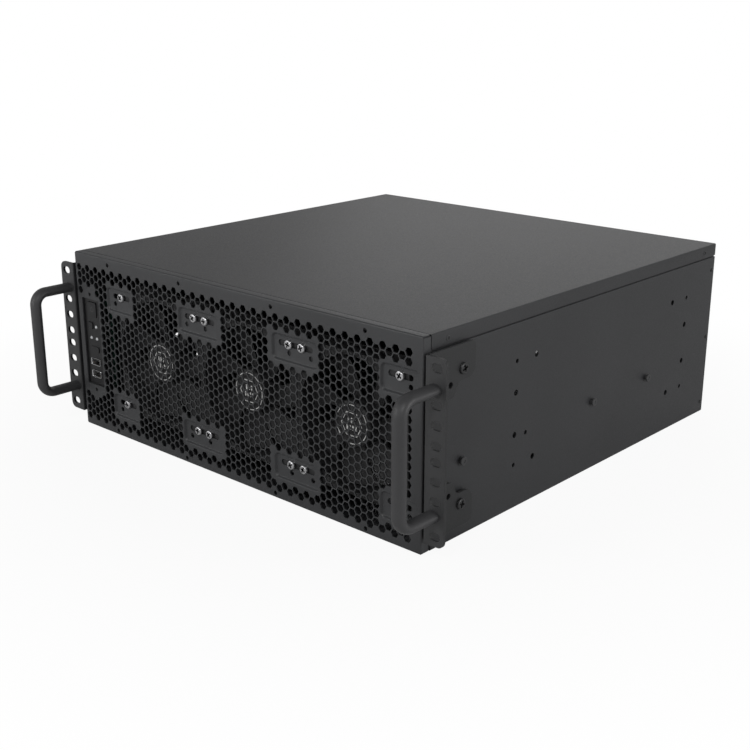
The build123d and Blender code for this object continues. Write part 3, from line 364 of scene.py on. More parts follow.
class Skin:
    """Open surface of a sheet piece, collected in millimetres and thickened afterwards."""

    def __init__(self):
        self.verts = []
        self.faces = []

    def plate(self, outline, holes, place):
        points, faces = plate(outline, holes)
        start = len(self.verts)
        self.verts += [place(*p) for p in points]
        self.faces += [[start + i for i in face] for face in faces]

    def strips(self, rows, closed=False):
        """Quads between neighbouring rows of points."""
        count = len(rows[0])
        start = len(self.verts)
        for row in rows:
            self.verts += row
        for r in range(len(rows) - 1):
            for i in range(count if closed else count - 1):
                j = (i + 1) % count
                low = start + r * count
                self.faces.append([low + i, low + j, low + count + j, low + count + i])

    def build(self, name, material, thickness, outward, body="chassis", replaced=(), smooth=35.0):
        """outward is the direction, in the middle of the largest face, in which the skin faces."""
        obj = piece(name, self.verts, self.faces, material, body, replaced)
        cleaned(obj.data, outward, smooth)
        if thickness:
            solid = obj.modifiers.new("thickness", "SOLIDIFY")
            solid.thickness = thickness * MM
            solid.offset = -1
            solid.use_even_offset = True
            applied(obj)
            obj.data.set_sharp_from_angle(angle=math.radians(smooth))
        return obj


def cleaned(mesh, outward, smooth):
    """Joins a mesh's seams, turns its faces outward and shades it smooth up to an angle."""
    work = bmesh.new()
    work.from_mesh(mesh)
    bmesh.ops.remove_doubles(work, verts=work.verts, dist=0.00001)
    bmesh.ops.recalc_face_normals(work, faces=work.faces)
    largest = max(work.faces, key=lambda f: f.calc_area())
    if outward and largest.normal.dot(Vector(outward)) < 0:
        bmesh.ops.reverse_faces(work, faces=work.faces)
    for face in work.faces:
        face.smooth = True
    work.to_mesh(mesh)
    work.free()
    mesh.set_sharp_from_angle(angle=math.radians(smooth))


def applied(obj):
    """Turns an object's modifiers into its mesh."""
    held = obj.evaluated_get(bpy.context.evaluated_depsgraph_get())
    mesh = bpy.data.meshes.new_from_object(held)
    obj.modifiers.clear()
    obj.data = mesh


def arc(radius, steps=5):
    """Points of a quarter turn as (inward, backward) from the edge of a bend."""
    turns = [math.radians(90 * i / steps) for i in range(steps + 1)]
    return [(radius * math.sin(a), radius * (1 - math.cos(a))) for a in turns]


def turned(name, profile, place, material, body, count=32, smooth=40.0, replaced=()):
    """A piece of revolution; profile is (radius, along) and place maps (u, v, along) to x, y, z."""
    verts, faces = [], []
    for radius, along in profile:
        for u, v in circle(0, 0, max(radius, 0.001), count):
            verts.append(place(u, v, along))
    for r in range(len(profile) - 1):
        for i in range(count):
            j = (i + 1) % count
            faces.append([r * count + i, r * count + j, (r + 1) * count + j, (r + 1) * count + i])
    faces.append(list(range(count)))
    faces.append([(len(profile) - 1) * count + i for i in reversed(range(count))])
    return piece(name, verts, faces, material, body, replaced, smooth)


BLOCK_FACES = ((0, 1, 3, 2), (4, 6, 7, 5), (0, 4, 5, 1), (2, 3, 7, 6), (0, 2, 6, 4), (1, 5, 7, 3))


def blocks(name, boxes, material, replaced=(), body="chassis", bevel=0.2):
    """Several blocks given by their ends on x, y and z, with softened edges."""
    verts, faces = [], []
    for (x0, x1), (y0, y1), (z0, z1) in boxes:
        start = len(verts)
        verts += [(x, y, z) for x in (x0, x1) for y in (y0, y1) for z in (z0, z1)]
        faces += [[start + i for i in face] for face in BLOCK_FACES]
    obj = piece(name, verts, faces, material, body, replaced)
    soften(obj, bevel)
    return obj


def soften(obj, width, segments=2):
    """Rounds an object's sharp edges by a width in millimetres."""
    edge = obj.modifiers.new("edge", "BEVEL")
    edge.width = width * MM
    edge.segments = segments
    edge.limit_method = "ANGLE"
    edge.angle_limit = math.radians(40)
    edge.harden_normals = False
    return obj


# Front panel


def pads():
    """Centre x, width, slot length, slot centre, screw xs and hole xs of one row of pads."""
    result = []
    for offset, width in PAD_SIDES:
        side = 1 if offset > 0 else -1
        middle = FAN_GROUP_X + offset
        if abs(offset) > FAN_PITCH:
            screw = FAN_GROUP_X + side * (FAN_PITCH + FAN_SCREWS / 2)
            hole = screw + side * PAD_HOLE_SINGLE
            result.append((middle, width, SHORT_SLOT, screw, (screw,), (hole,)))
        else:
            inner = FAN_GROUP_X + side * FAN_SCREWS / 2
            outer = inner + side * (FAN_PITCH - FAN_SCREWS)
            spots = (inner, inner + side * PAD_HOLE_PAIR)
            result.append((middle, width, LONG_SLOT, (inner + outer) / 2, (inner, outer), spots))
    return result


def over_pad(x, z):
    for row in PAD_ROWS:
        for middle, width, *_ in pads():
            beside = abs(x - middle) < width / 2 + PAD_BLANK_X
            if beside and abs(z - row + PAD_DROP) < PAD_H / 2 + PAD_BLANK_Z:
                return True
    return False


def over_control(x, z):
    """True over the control strip and close round the screws above and below it."""
    height = abs(z - MID_Z)
    if math.hypot(x - CONTROL_X, height - CONTROL_SCREW) < CONTROL_SCREW_BLANK:
        return True
    return x < CONTROL_BLANK_X and height < CONTROL_BLANK_HALF


def hexagon_spots():
    """Centres of the hexagons that the real panel has."""
    spots = []
    for i in range(HEX_COLUMNS):
        x = HEX_LEFT + i * HEX_COLUMN
        odd = i % 2
        for k in range(HEX_ROWS - odd):
            z = HEX_TOP - odd * HEX_ROW / 2 - k * HEX_ROW
            if not over_pad(x, z) and not over_control(x, z):
                spots.append((x, z))
    return spots


def pressed_pad(skin, middle, row, width, slot_length, slot_x, hole_xs):
    """The dish of one pad: rounded rim, sloping wall, and floor with its slot and holes."""
    z = row - PAD_DROP
    steps = ((0, 0), (0.2, 0.05), (0.42, 0.2), (1.3, 1.72), (1.5, 1.93), (PAD_WALL, PAD_DEPTH))
    rows = []
    for inset, depth in steps:
        loop = rounded_box(middle, z, width - 2 * inset, PAD_H - 2 * inset, PAD_ROUND - inset)
        rows.append([(x, depth, zz) for x, zz in loop])
    skin.strips(rows, closed=True)
    inner = 2 * PAD_WALL
    floor = rounded_box(middle, z, width - inner, PAD_H - inner, PAD_ROUND - PAD_WALL)
    cuts = [rounded_box(slot_x, row, slot_length, PAD_SLOT_W, PAD_SLOT_W / 2 - 0.01)]
    cuts += [circle(x, row - PAD_HOLE_DROP, PAD_HOLE_R) for x in hole_xs]
    skin.plate(floor, cuts, lambda x, zz: (x, PAD_DEPTH, zz))


def panel_edges(skin):
    """Rolled edges of the panel: a bend and a flange on each of its four sides."""
    half, low, top = BODY_X - BEND, BEND, BODY_TOP - BEND
    edges = (
        ((-half, top), (half, top), (0, 1), 8.0),
        ((-half, low), (half, low), (0, -1), 10.0),
        ((-half, low), (-half, top), (-1, 0), 8.0),
        ((half, low), (half, top), (1, 0), 8.0),
    )
    for (x0, z0), (x1, z1), (dx, dz), depth in edges:
        rows = []
        for out, back in arc(BEND) + [(BEND, depth)]:
            rows.append([(x0 + dx * out, back, z0 + dz * out), (x1 + dx * out, back, z1 + dz * out)])
        skin.strips(rows)


def front_panel():
    skin = Skin()
    holes = [circle(x, z, HEX_FLATS / math.sqrt(3), 6) for x, z in hexagon_spots()]
    for row in PAD_ROWS:
        for middle, width, length, slot_x, _, hole_xs in pads():
            holes.append(rounded_box(middle, row - PAD_DROP, width, PAD_H, PAD_ROUND))
            pressed_pad(skin, middle, row, width, length, slot_x, hole_xs)
    for x in EDGE_HOLE_XS:
        holes += [circle(x, z, EDGE_HOLE_R, 16) for z in EDGE_HOLE_ZS]
    holes += [circle(CONTROL_X, MID_Z + s * CONTROL_SCREW, CONTROL_SCREW_R, 16) for s in (-1, 1)]
    holes.append(rounded_box(CONTROL_X, MID_Z, CONTROL_W, CONTROL_H, 0.8, 3))
    half, low, top = BODY_X - BEND, BEND, BODY_TOP - BEND
    outline = [(-half, low), (half, low), (half, top), (-half, top)]
    skin.plate(outline, holes, lambda x, z: (x, 0, z))
    panel_edges(skin)
    skin.build("grille_panel", FACE_GREY, SHEET, (0, -1, 0), replaced=("front_grille_panel",))


# Cover and tray


def cover():
    skin = Skin()
    profile = [(BODY_X, COVER_LIP)]
    profile += [(BODY_X - BEND + out, BODY_TOP - back) for out, back in reversed(arc(BEND))]
    profile += [(-x, z) for x, z in reversed(profile)]
    skin.strips([[(x, y, z) for x, z in profile] for y in (COVER_FRONT, BODY_BACK)])
    skin.build("cover_sheet", SHEET_GREY, SHEET, (0, 0, 1), replaced=("top_cover",))


def wall_holes():
    """Rail holes of one side wall as y, z and radius."""
    spots = [(132.5, 64, RAIL_HOLE_R)]
    spots += [(y, z, RAIL_HOLE_R) for y in (117, 394) for z in (39.5, 129.5)]
    spots += [(y, z, WIDE_HOLE_R) for y in (117, 394) for z in (66, 102.6)]
    return spots + [(y, z, WIDE_HOLE_R) for y in (144, 367) for z in (39.5, 129.5)]


def tray_rails():
    """The rail behind the panel and the inner flanges of the side walls."""
    inner = BODY_X - SHEET
    rails = [
        ((1 - inner, inner - 1), (SHEET, RAIL_FRONT), (172.2, 173.4)),
        ((1 - inner, inner - 1), (RAIL_FRONT - SHEET, RAIL_FRONT), (159.6, 172.2)),
        ((1 - inner, inner - 1), (SHEET, 30), (SHEET, 2 * SHEET)),
    ]
    for side in (-1, 1):
        across = sorted((side * (inner - SHEET), side * inner))
        rails.append((across, (COVER_FRONT, BODY_BACK - SHEET), (150, RAIL_TOP)))
        rails.append((across, (SHEET, RAIL_FRONT), (SHEET, 155)))
    blocks("tray_rails", rails, SHEET_GREY)


def tray():
    skin = Skin()
    holes = [circle(y, z, r) for y, z, r in wall_holes()]
    outline = [
        (TRAY_FRONT, BEND), (BODY_BACK, BEND), (BODY_BACK, WALL_TOP), (COVER_FRONT, WALL_TOP),
        (COVER_FRONT, WALL_FOOT), (TRAY_FRONT, WALL_FOOT),
    ]
    for side in (-1, 1):
        skin.plate(outline, holes, lambda y, z, s=side: (s * BODY_X, y, z))
        rows = []
        for out, back in arc(BEND):
            x = side * (BODY_X - BEND + out)
            rows.append([(x, TRAY_FRONT, back), (x, BODY_BACK, back)])
        skin.strips(rows)
    edge = BODY_X - BEND
    floor = [(-edge, TRAY_FRONT), (edge, TRAY_FRONT), (edge, BODY_BACK), (-edge, BODY_BACK)]
    skin.plate(floor, [], lambda x, y: (x, y, 0))
    skin.build("tray_sheet", SHEET_GREY, SHEET, (0, 0, -1), replaced=("chassis_tray",))
    tray_rails()


# Screws, studs and rivets


def cross(arm, half, cut):
    """Outline of a cross recess with its arm ends cut at 45 degrees."""
    quarter = [(half, half), (arm - cut, half), (arm, half - cut), (arm, cut - half), (arm - cut, -half)]
    points = []
    for turn in (0, 3, 2, 1):
        c, d = ((1, 0), (0, 1), (-1, 0), (0, -1))[turn]
        points += [(x * c - y * d, x * d + y * c) for x, y in quarter]
    return list(reversed(points))


def screw_head(name, radius, height, recess, material, inside, crown=0.74):
    """Mesh of a head with a flat crown, a cross recess and a rounded shoulder, facing +Z from z = 0; the
    recess faces take the second material, a painted shade.
    """
    skin = Skin()
    mouth = cross(radius * 0.66, radius * 0.19, radius * 0.06)
    foot = cross(radius * 0.5, radius * 0.13, radius * 0.04)
    top = height * 0.97
    if recess:
        skin.strips([[(x, y, top) for x, y in mouth], [(x, y, top - recess) for x, y in foot]], closed=True)
        skin.plate(foot, [], lambda x, y: (x, y, top - recess))
    in_recess = len(skin.faces)
    skin.plate(circle(0, 0, radius * crown, 48), [mouth] if recess else [], lambda x, y: (x, y, top))
    rows = []
    for i in range(7):
        a = math.radians(90 * i / 6)
        r = radius * (crown + (1 - crown) * math.sin(a))
        rows.append([(x, y, top * (0.35 + 0.65 * math.cos(a))) for x, y in circle(0, 0, r, 48)])
    rows.append([(x, y, 0) for x, y in circle(0, 0, radius, 48)])
    skin.strips(rows, closed=True)
    mesh = bpy.data.meshes.new(name)
    mesh.from_pydata([Vector(v) * MM for v in skin.verts], [], skin.faces)
    mesh.materials.append(material)
    mesh.materials.append(inside)
    for polygon in mesh.polygons[:in_recess]:
        polygon.material_index = 1
    cleaned(mesh, (0, 0, 1), 38)
    return mesh


def placed(name, mesh, place, normal, turn, body="chassis", replaced=()):
    """An object on a shared mesh whose +Z points along normal."""
    obj = bpy.data.objects.new(name, mesh)
    bpy.context.scene.collection.objects.link(obj)
    spin = Matrix.Rotation(math.radians(turn), 4, "Z")
    aim = Vector(normal).to_track_quat("Z", "Y").to_matrix().to_4x4()
    obj.matrix_world = Matrix.Translation(place) @ aim @ spin
    bpy.context.view_layer.update()
    return settled(obj, body, replaced)


def fan_screws(head):
    number = 0
    for row in PAD_ROWS:
        for _, _, _, _, xs, _ in pads():
            for x in xs:
                number += 1
                placed(f"fan_screw_{number}", head, at(x, PAD_DEPTH, row), (0, -1, 0), 17 + number * 37,
                       replaced=("fan_screws",))


def rail_stud(name, side, y):
    """Shouldered stud with a neck, a wide collar and a dished end."""
    profile = [(2.3, 0), (2.3, 2.0), (3.1, 2.1), (3.7, 2.3), (3.7, 3.1), (3.3, 3.55), (1.6, 3.6), (1.4, 3.2)]
    turned(name, profile, lambda u, v, a: (side * (BODY_X + a), y + u, STUD_Z + v), EAR_GREY, "chassis",
           replaced=("rail_studs",))


def wall_fasteners(side, tag, truss, flush, rivet):
    out = (side, 0, 0)
    y, half = EAR_SCREW
    for n, z in enumerate((MID_Z + half, MID_Z - half)):
        placed(f"ear_screw_{tag}_{n}", truss, at(side * (EAR_IN + EAR_T), y, z), out, 20 + 50 * n,
               replaced=("ear_screws",))
    for n, y in enumerate(COVER_SCREW_YS):
        placed(f"cover_screw_{tag}_{n}", flush, at(side * BODY_X, y, COVER_SCREW_Z), out, 30 + 25 * n,
               replaced=("cover_screws",))
    for n, z in enumerate(RIVET_ZS):
        placed(f"rear_rivet_{tag}_{n}", rivet, at(side * BODY_X, RIVET_Y, z), out, 0,
               replaced=("rear_rivets",))
    for n, y in enumerate(STUD_YS):
        rail_stud(f"rail_stud_{tag}_{n}", side, y)


def rear_screws(pan, truss):
    """Screws of the card brackets and of the supply."""
    for n in range(SLOT_COUNT):
        place = at(SLOT_FIRST - SLOT_PITCH * n, BODY_BACK - SHEET - 4.6, SLOT_SCREW_Z)
        placed(f"slot_screw_{n}", pan, place, (0, 0, 1), 25 + 48 * n)
    for n, (x, z) in enumerate(SUPPLY_SCREWS):
        placed(f"supply_screw_{n}", truss, at(x, BODY_BACK, z), (0, 1, 0), 15 + 62 * n)


def fasteners():
    # The second material of each head is painted shade in its cross recess.
    pan = screw_head("pan_head", 4.0, 2.3, 1.7, ZINC, DARK_ZINC_AND_RECESS_SHADE)
    fan_screws(pan)
    truss = screw_head("truss_head", 4.7, 2.2, 1.5, SCREW_GREY, SCREW_BLACK, crown=0.7)
    flush = screw_head("flush_head", 2.3, 0.4, 0.9, EAR_GREY, SCREW_BLACK, crown=0.9)
    small = screw_head("small_head", 1.8, 0.5, 0.7, SCREW_BLACK, SCREW_BLACK)
    rivet = screw_head("rivet_head", 1.9, 0.6, 0, SCREW_BLACK, SCREW_BLACK, crown=0.4)
    for side, tag in ((-1, "left"), (1, "right")):
        wall_fasteners(side, tag, truss, flush, rivet)
    for n, s in enumerate((-1, 1)):
        placed(f"control_screw_{n}", small, at(CONTROL_X, 0.9, MID_Z + s * CONTROL_SCREW), (0, -1, 0),
               40 * n, replaced=("control_screws",))
    rear_screws(pan, truss)


# Ears and handles


def leaf_outline():
    """Side leaf of an ear: a narrow web between two lobed tabs, as y and z."""
    h = EAR_HALF
    front = EAR_FRONT + EAR_BEND
    points = [
        (front, -h), (56, -h), (56, 28.8 - h), (36, 28.8 - h), (30, -34.2), (22, -34.2),
        (22, 34.2), (30, 34.2), (36, h - 28.8), (56, h - 28.8), (56, h), (front, h),
    ]
    radii = [0, 5, 9, 6, 5, 4, 4, 5, 6, 9, 5, 0]
    return [(y, MID_Z + z) for y, z in rounded(points, radii)]


def ear_flange(skin, side):
    """Front flange with its rack slots, and the bend that joins it to the leaf."""
    edge = EAR_IN + EAR_BEND
    low, top = MID_Z - EAR_HALF, MID_Z + EAR_HALF
    outline = rounded([(edge, low), (EAR_OUT, low), (EAR_OUT, top), (edge, top)], [0, 6, 6, 0])
    length, width = EAR_SLOT
    slots = []
    for half in RACK_HALVES:
        for s in (-1, 1):
            slots.append(rounded_box(EAR_SLOT_X, MID_Z + s * half, length, width, width / 2 - 0.01, 8))
    skin.plate(outline, slots, lambda x, z: (side * x, EAR_FRONT, z))
    rows = []
    for out, back in arc(EAR_BEND, 6):
        x = side * (edge - out)
        rows.append([(x, EAR_FRONT + back, low), (x, EAR_FRONT + back, top)])
    skin.strips(rows)


def ear(side, tag):
    skin = Skin()
    ear_flange(skin, side)
    y, half = EAR_HOLE
    holes = [circle(y, MID_Z + s * half, EAR_HOLE_R) for s in (-1, 1)]
    skin.plate(leaf_outline(), holes, lambda y, z: (side * EAR_IN, y, z))
    obj = skin.build(f"ear_sheet_{tag}", EAR_GREY, EAR_T, (-side, 0, 0), replaced=(f"rack_ear_{tag}",))
    # Faces that look sideways, those of the side leaf, take the darker copy of the coat as painted shade.
    obj.data.materials.append(LEAF_SHADE_GREY)
    for polygon in obj.data.polygons:
        if abs(polygon.normal.x) > 0.7:
            polygon.material_index = 1
    soften(obj, 0.25)
    handle_washers(side, tag)
    ear_spacers(side, tag)


def handle_washers(side, tag):
    back = EAR_FRONT + EAR_T
    for n, z in ((0, MID_Z - HANDLE_HALF), (2, MID_Z + HANDLE_HALF)):
        turned(f"handle_washer_{tag}_{n}", [(4.9, 0), (4.9, 2.2)],
               lambda u, v, a: (side * (HANDLE_X + u), back + a, z + v), SCREW_BLACK, "chassis")


def ear_spacers(side, tag):
    """Round spacers that carry the leaf off the wall, behind its screws and small holes."""
    for n, (y, half) in enumerate((EAR_SCREW, EAR_HOLE)):
        for m, z in enumerate((MID_Z - half, MID_Z + half)):
            turned(f"ear_spacer_{tag}_{n}{m}", [(6, 0), (6, EAR_GAP)],
                   lambda u, v, a: (side * (BODY_X + a), y + u, z + v), SCREW_BLACK, "chassis")


def bow_path():
    """Middle line of a handle as y, z and the angle that it has turned through."""
    bend = HANDLE_BEND
    top, low = MID_Z + HANDLE_HALF, MID_Z - HANDLE_HALF
    path = [(0, low, 0), (-2, low, 0)]
    for i in range(13):
        a = math.radians(90 * i / 12)
        y = bend - HANDLE_REACH - bend * math.sin(a)
        path.append((y, low + bend - bend * math.cos(a), math.degrees(a)))
    path += [(y, 2 * MID_Z - z, 180 - a) for y, z, a in reversed(path[2:])]
    return path + [(-2, top, 180), (0, top, 180)]


def handle(side, tag):
    """Oval bar swept along the bow."""
    verts, faces = [], []
    path = bow_path()
    for y, z, a in path:
        turn = math.radians(a)
        for u, v in circle(0, 0, 1, HANDLE_SIDES):
            across = u * HANDLE_THICK
            x = side * (HANDLE_X + v * HANDLE_WIDE)
            verts.append((x, y + across * math.sin(turn), z + across * math.cos(turn)))
    for r in range(len(path) - 1):
        low, high = r * HANDLE_SIDES, (r + 1) * HANDLE_SIDES
        for i in range(HANDLE_SIDES):
            j = (i + 1) % HANDLE_SIDES
            faces.append([low + i, low + j, high + j, high + i])
    last = len(verts) - HANDLE_SIDES
    faces += [list(range(HANDLE_SIDES)), [last + i for i in reversed(range(HANDLE_SIDES))]]
    piece(f"bow_handle_{tag}", verts, faces, BAR_BLACK, replaced=(f"handle_{tag}",),
          smooth=50)


# Fans


def fan_frame(tag, x, y, z, frame_node):
    """Two flanges with corner holes round a short duct, centred at x, z with its front at y."""
    skin = Skin()
    half = FAN_SCREWS / 2
    screws = [circle(x + sx * half, z + sz * half, 2.3, 16) for sx in (-1, 1) for sz in (-1, 1)]
    ring = circle(x, z, FAN_BORE, 72)
    rim = rounded_box(x, z, FAN_SIZE, FAN_SIZE, FAN_CORNER)
    for front, back in ((0, FAN_FLANGE), (FAN_DEPTH - FAN_FLANGE, FAN_DEPTH)):
        for depth in (front, back):
            skin.plate(rim, [ring] + screws, lambda u, v, d=depth: (u, y + d, v))
        skin.strips([[(u, y + front, v) for u, v in rim], [(u, y + back, v) for u, v in rim]], closed=True)
    for r in (FAN_BORE, FAN_BORE + 2):
        wall = circle(x, z, r, 72)
        skin.strips([[(u, y + d, v) for u, v in wall] for d in (0, FAN_DEPTH)], closed=True)
    skin.build(f"fan_ring_{tag}", FAN_BLACK, 0, (0, -1, 0), replaced=(frame_node,))


def fan_struts(tag, x, y, z):
    """Motor plate at the back and the four tapered struts that hold it."""
    turned(f"fan_motor_{tag}", [(18, 0), (18, 3.6)],
           lambda u, v, a: (x + u, y + FAN_DEPTH - 3.6 + a, z + v), FAN_BLACK, "chassis")
    verts, faces = [], []
    for k in range(4):
        a = math.radians(45 + 90 * k)
        c, s = math.cos(a), math.sin(a)
        faces += [[len(verts) + i for i in face] for face in BLOCK_FACES]
        for r, w in ((16, 3.2), (FAN_BORE + 0.6, 2.2)):
            for d in (FAN_DEPTH - 4.2, FAN_DEPTH - 0.2):
                for side in (-w, w):
                    verts.append((x + c * r - s * side, y + d, z + s * r + c * side))
    piece(f"fan_struts_{tag}", verts, faces, FAN_BLACK)


def blade(x, y, z, turn):
    """Rows of points of one twisted, bowed blade, from its root to its tip."""
    grid = []
    for i in range(13):
        t = i / 12
        r = BLADE_ROOT + (BLADE_TIP - BLADE_ROOT) * i / 12
        pitch = math.radians(48 - 20 * t)
        lean = math.radians(turn + 16 * t * t)
        row = []
        for j in range(9):
            s = j / 8 - 0.5
            bow = 2.2 * (1 - 4 * s * s)
            along = (17 + 15 * t) * s
            angle = lean + (along * math.cos(pitch) - bow * math.sin(pitch)) / r
            depth = FAN_DEPTH / 2 - 1 + along * math.sin(pitch) * 0.62 + bow * math.cos(pitch)
            row.append((x + r * math.cos(angle), y + depth, z + r * math.sin(angle)))
        grid.append(row)
    return grid


def fan_rotor(tag, x, y, z, rotor_node):
    back = FAN_DEPTH - 4.4
    profile = [(0, 0.6), (17.4, 0.6), (18.9, 0.9), (19.8, 1.8), (HUB_R, 3), (HUB_R, back), (0, back)]
    turned(f"fan_hub_{tag}", profile, lambda u, v, a: (x + u, y + a, z + v), FAN_BLACK, rotor_node, 48,
           replaced=(rotor_node,))
    blades = Skin()
    for k in range(BLADE_COUNT):
        blades.strips(blade(x, y, z, 360 / BLADE_COUNT * k))
    blades.build(f"fan_blades_{tag}", FAN_BLACK, 1.3, (0, -1, 0), body=rotor_node)


def fan(tag, x, y, z, frame_node, rotor_node):
    fan_frame(tag, x, y, z, frame_node)
    fan_struts(tag, x, y, z)
    fan_rotor(tag, x, y, z, rotor_node)


def hub_print(name, x, y, z, body):
    """Printed rings and plain bars on a hub: a thin round ring, a six-sided one and two rows of bars."""
    marks = Skin()
    for sides, inner, outer in ((64, 15.9, 16.7), (6, 10.5, 11.4)):
        marks.strips([[(u, y, v) for u, v in circle(x, z, r, sides)] for r in (inner, outer)], closed=True)
    for row, count, tall in ((3.3, 3, 4.4), (-2.9, 4, 4.0)):
        for k in range(count):
            middle = x + (k - (count - 1) / 2) * 3.1
            bar = rounded_box(middle, z + row, 1.7, tall, 0.5, 2)
            marks.plate(bar, [], lambda u, v: (u, y, v))
    marks.build(name, PRINT_WHITE, 0, (0, -1, 0), body=body)


# Control strip


def socket(tag, z):
    """Shell of a type A socket with its flared mouth, the tongue and its four contacts."""
    x = CONTROL_X
    skin = Skin()
    rows = []
    for y, width, height in ((1.0, 14.1, 6.7), (1.35, 13.4, 6.0), (1.9, 13.1, 5.7), (SOCKET_BACK, 13.1, 5.7)):
        rows.append([(u, y, v) for u, v in rounded_box(x, z, width, height, 0.8, 4)])
    skin.strips(rows, closed=True)
    skin.build(f"usb_shell_{tag}", ZINC, 0.35, None, replaced=(f"usb_port_{tag}",))
    blocks(f"usb_tongue_{tag}", [((x - 5.6, x + 5.6), (3.0, SOCKET_BACK), (z + 0.4, z + 2.1))], PLASTIC,
           bevel=0.15)
    pins = [((x + d - 0.6, x + d + 0.6), (3.6, 12), (z + 0.25, z + 0.4)) for d in (-3.5, -1.0, 1.0, 3.5)]
    blocks(f"usb_contacts_{tag}", pins, BRASS, bevel=0.02)


def power_mark():
    """Open ring with a bar, printed on the power button."""
    mark = Skin()
    turns = [math.radians(125 + 290 * i / 30) for i in range(31)]
    rows = []
    for r in (2.0, 2.45):
        rows.append([(CONTROL_X + r * math.cos(a), MARK_Y, MARK_Z + r * math.sin(a)) for a in turns])
    mark.strips(rows)
    left, right = CONTROL_X - 0.22, CONTROL_X + 0.22
    low, top = MARK_Z + 0.9, MARK_Z + 3
    mark.plate([(left, low), (right, low), (right, top), (left, top)], [], lambda x, z: (x, MARK_Y, z))
    mark.build("power_mark", MARK_GREY, 0, (0, -1, 0), body="power_button")


def control_details():
    """Sockets, domed lights, and the mark on the power button."""
    for tag, z in SOCKETS:
        socket(tag, z)
    profile = [(0, 1.0), (0.7, 1.07), (1.15, 1.3), (1.5, 1.8), (1.5, SOCKET_BACK), (0, SOCKET_BACK)]
    for n, (x, z) in enumerate(LIGHTS):
        turned(f"status_light_{n}", profile, lambda u, v, a: (x + u, a, z + v), LAMP, "chassis", 20,
               replaced=("status_lights",))
    power_mark()


# Rear connectors


def port_places():
    """Middle x, width and the low edges of the mouths of each rear connector."""
    stacks = [(38.0 - i * 22, 16.0, (PORT_LOW, 11.5, 21)) for i in range(3)]
    return [(82.0, 14.0, (PORT_LOW, 12, 22)), (60.0, 17.0, (PORT_LOW,)), (-46.0, 22.0, (PORT_LOW,))] + stacks


def rear_ports():
    """Dark mouths with their tongues in the connectors behind the shield."""
    face = BODY_BACK + 1.0
    mouths, tongues = [], []
    for middle, width, lows in port_places():
        half = width / 2 - 1.5
        for low in lows:
            z = BOARD_TOP + low
            if low > PORT_LOW:
                mouths.append(((middle - half, middle + half), (face - 0.2, face + 0.06), (z, z + 7)))
            back = face - 8 if low == PORT_LOW else face - 0.1
            tongues.append(((middle - half + 1, middle + half - 1), (back, face + 0.1), (z + 3.6, z + 5.4)))
    blocks("port_mouths", mouths, PLASTIC, bevel=0.02)
    blocks("port_tongues", tongues, DARK_ZINC_AND_RECESS_SHADE, bevel=0.1)

    def inside(x, y, z):
        deep = BODY_BACK - 9.5 < y < BODY_BACK + 0.6 and BOARD_TOP + 1.9 < z < BOARD_TOP + 9.1
        return deep and any(abs(x - middle) < width / 2 - 0.8 for middle, width, _ in port_places())

    patched("main_board", PLASTIC, inside)


# Stage, lights and camera


def floor_material():
    """White floor that keeps a faint shadow near the machine and is plain white further out."""
    material, tree, shader = new_material("floor_white")
    tree.nodes.remove(shader)
    output = next(n for n in tree.nodes if n.type == "OUTPUT_MATERIAL")
    diffuse = add(tree, "ShaderNodeBsdfDiffuse", Color=(0.82, 0.82, 0.82, 1))
    plain = add(tree, "ShaderNodeEmission", Color=(1, 1, 1, 1), Strength=1.0)
    path = add(tree, "ShaderNodeLightPath")
    distance = add(tree, "ShaderNodeVectorMath", operation="LENGTH")
    tree.links.new(object_coords(tree), distance.inputs[0])
    share = add(tree, "ShaderNodeMath", operation="MULTIPLY")
    tree.links.new(path.outputs["Is Camera Ray"], share.inputs[0])
    tree.links.new(mapped(tree, distance.outputs["Value"], 0.3, 0.6, 0.93, 1.0), share.inputs[1])
    mix = add(tree, "ShaderNodeMixShader")
    tree.links.new(share.outputs[0], mix.inputs["Fac"])
    tree.links.new(diffuse.outputs[0], mix.inputs[1])
    tree.links.new(plain.outputs[0], mix.inputs[2])
    tree.links.new(mix.outputs[0], output.inputs["Surface"])
    return material


def stage():
    mesh = bpy.data.meshes.new("floor")
    far = 30
    mesh.from_pydata([(-far, -far, 0), (far, -far, 0), (far, far, 0), (-far, far, 0)], [], [(0, 1, 2, 3)])
    mesh.materials.append(floor_material())
    floor = bpy.data.objects.new("floor", mesh)
    bpy.context.scene.collection.objects.link(floor)


def backdrop():
    """Soft light from all round, brighter near the horizon; seen directly it is white."""
    world = bpy.data.worlds.new("studio")
    world.use_nodes = True
    tree = world.node_tree
    back = tree.nodes["Background"]
    coords = add(tree, "ShaderNodeTexCoord")
    split = add(tree, "ShaderNodeSeparateXYZ")
    tree.links.new(coords.outputs["Generated"], split.inputs["Vector"])
    path = add(tree, "ShaderNodeLightPath")
    seen = add(tree, "ShaderNodeMix", data_type="FLOAT")
    seen.inputs["B"].default_value = 1.0
    tree.links.new(mapped(tree, split.outputs["Z"], 0.25, 0.95, 0.42, 0.14), seen.inputs["A"])
    tree.links.new(path.outputs["Is Camera Ray"], seen.inputs["Factor"])
    tree.links.new(seen.outputs["Result"], back.inputs["Strength"])
    back.inputs["Color"].default_value = (1, 1, 1, 1)
    bpy.context.scene.world = world


def lamp(name, place, aim, size, power):
    light = bpy.data.lights.new(name, "AREA")
    light.shape = "RECTANGLE"
    light.size = size[0]
    light.size_y = size[1]
    light.energy = power
    obj = bpy.data.objects.new(name, light)
    bpy.context.scene.collection.objects.link(obj)
    obj.location = place
    obj.rotation_euler = (Vector(aim) - Vector(place)).to_track_quat("-Z", "Y").to_euler()


def lights():
    for name, (place, aim, size, power) in LAMPS.items():
        lamp(name, place, aim, size, power)


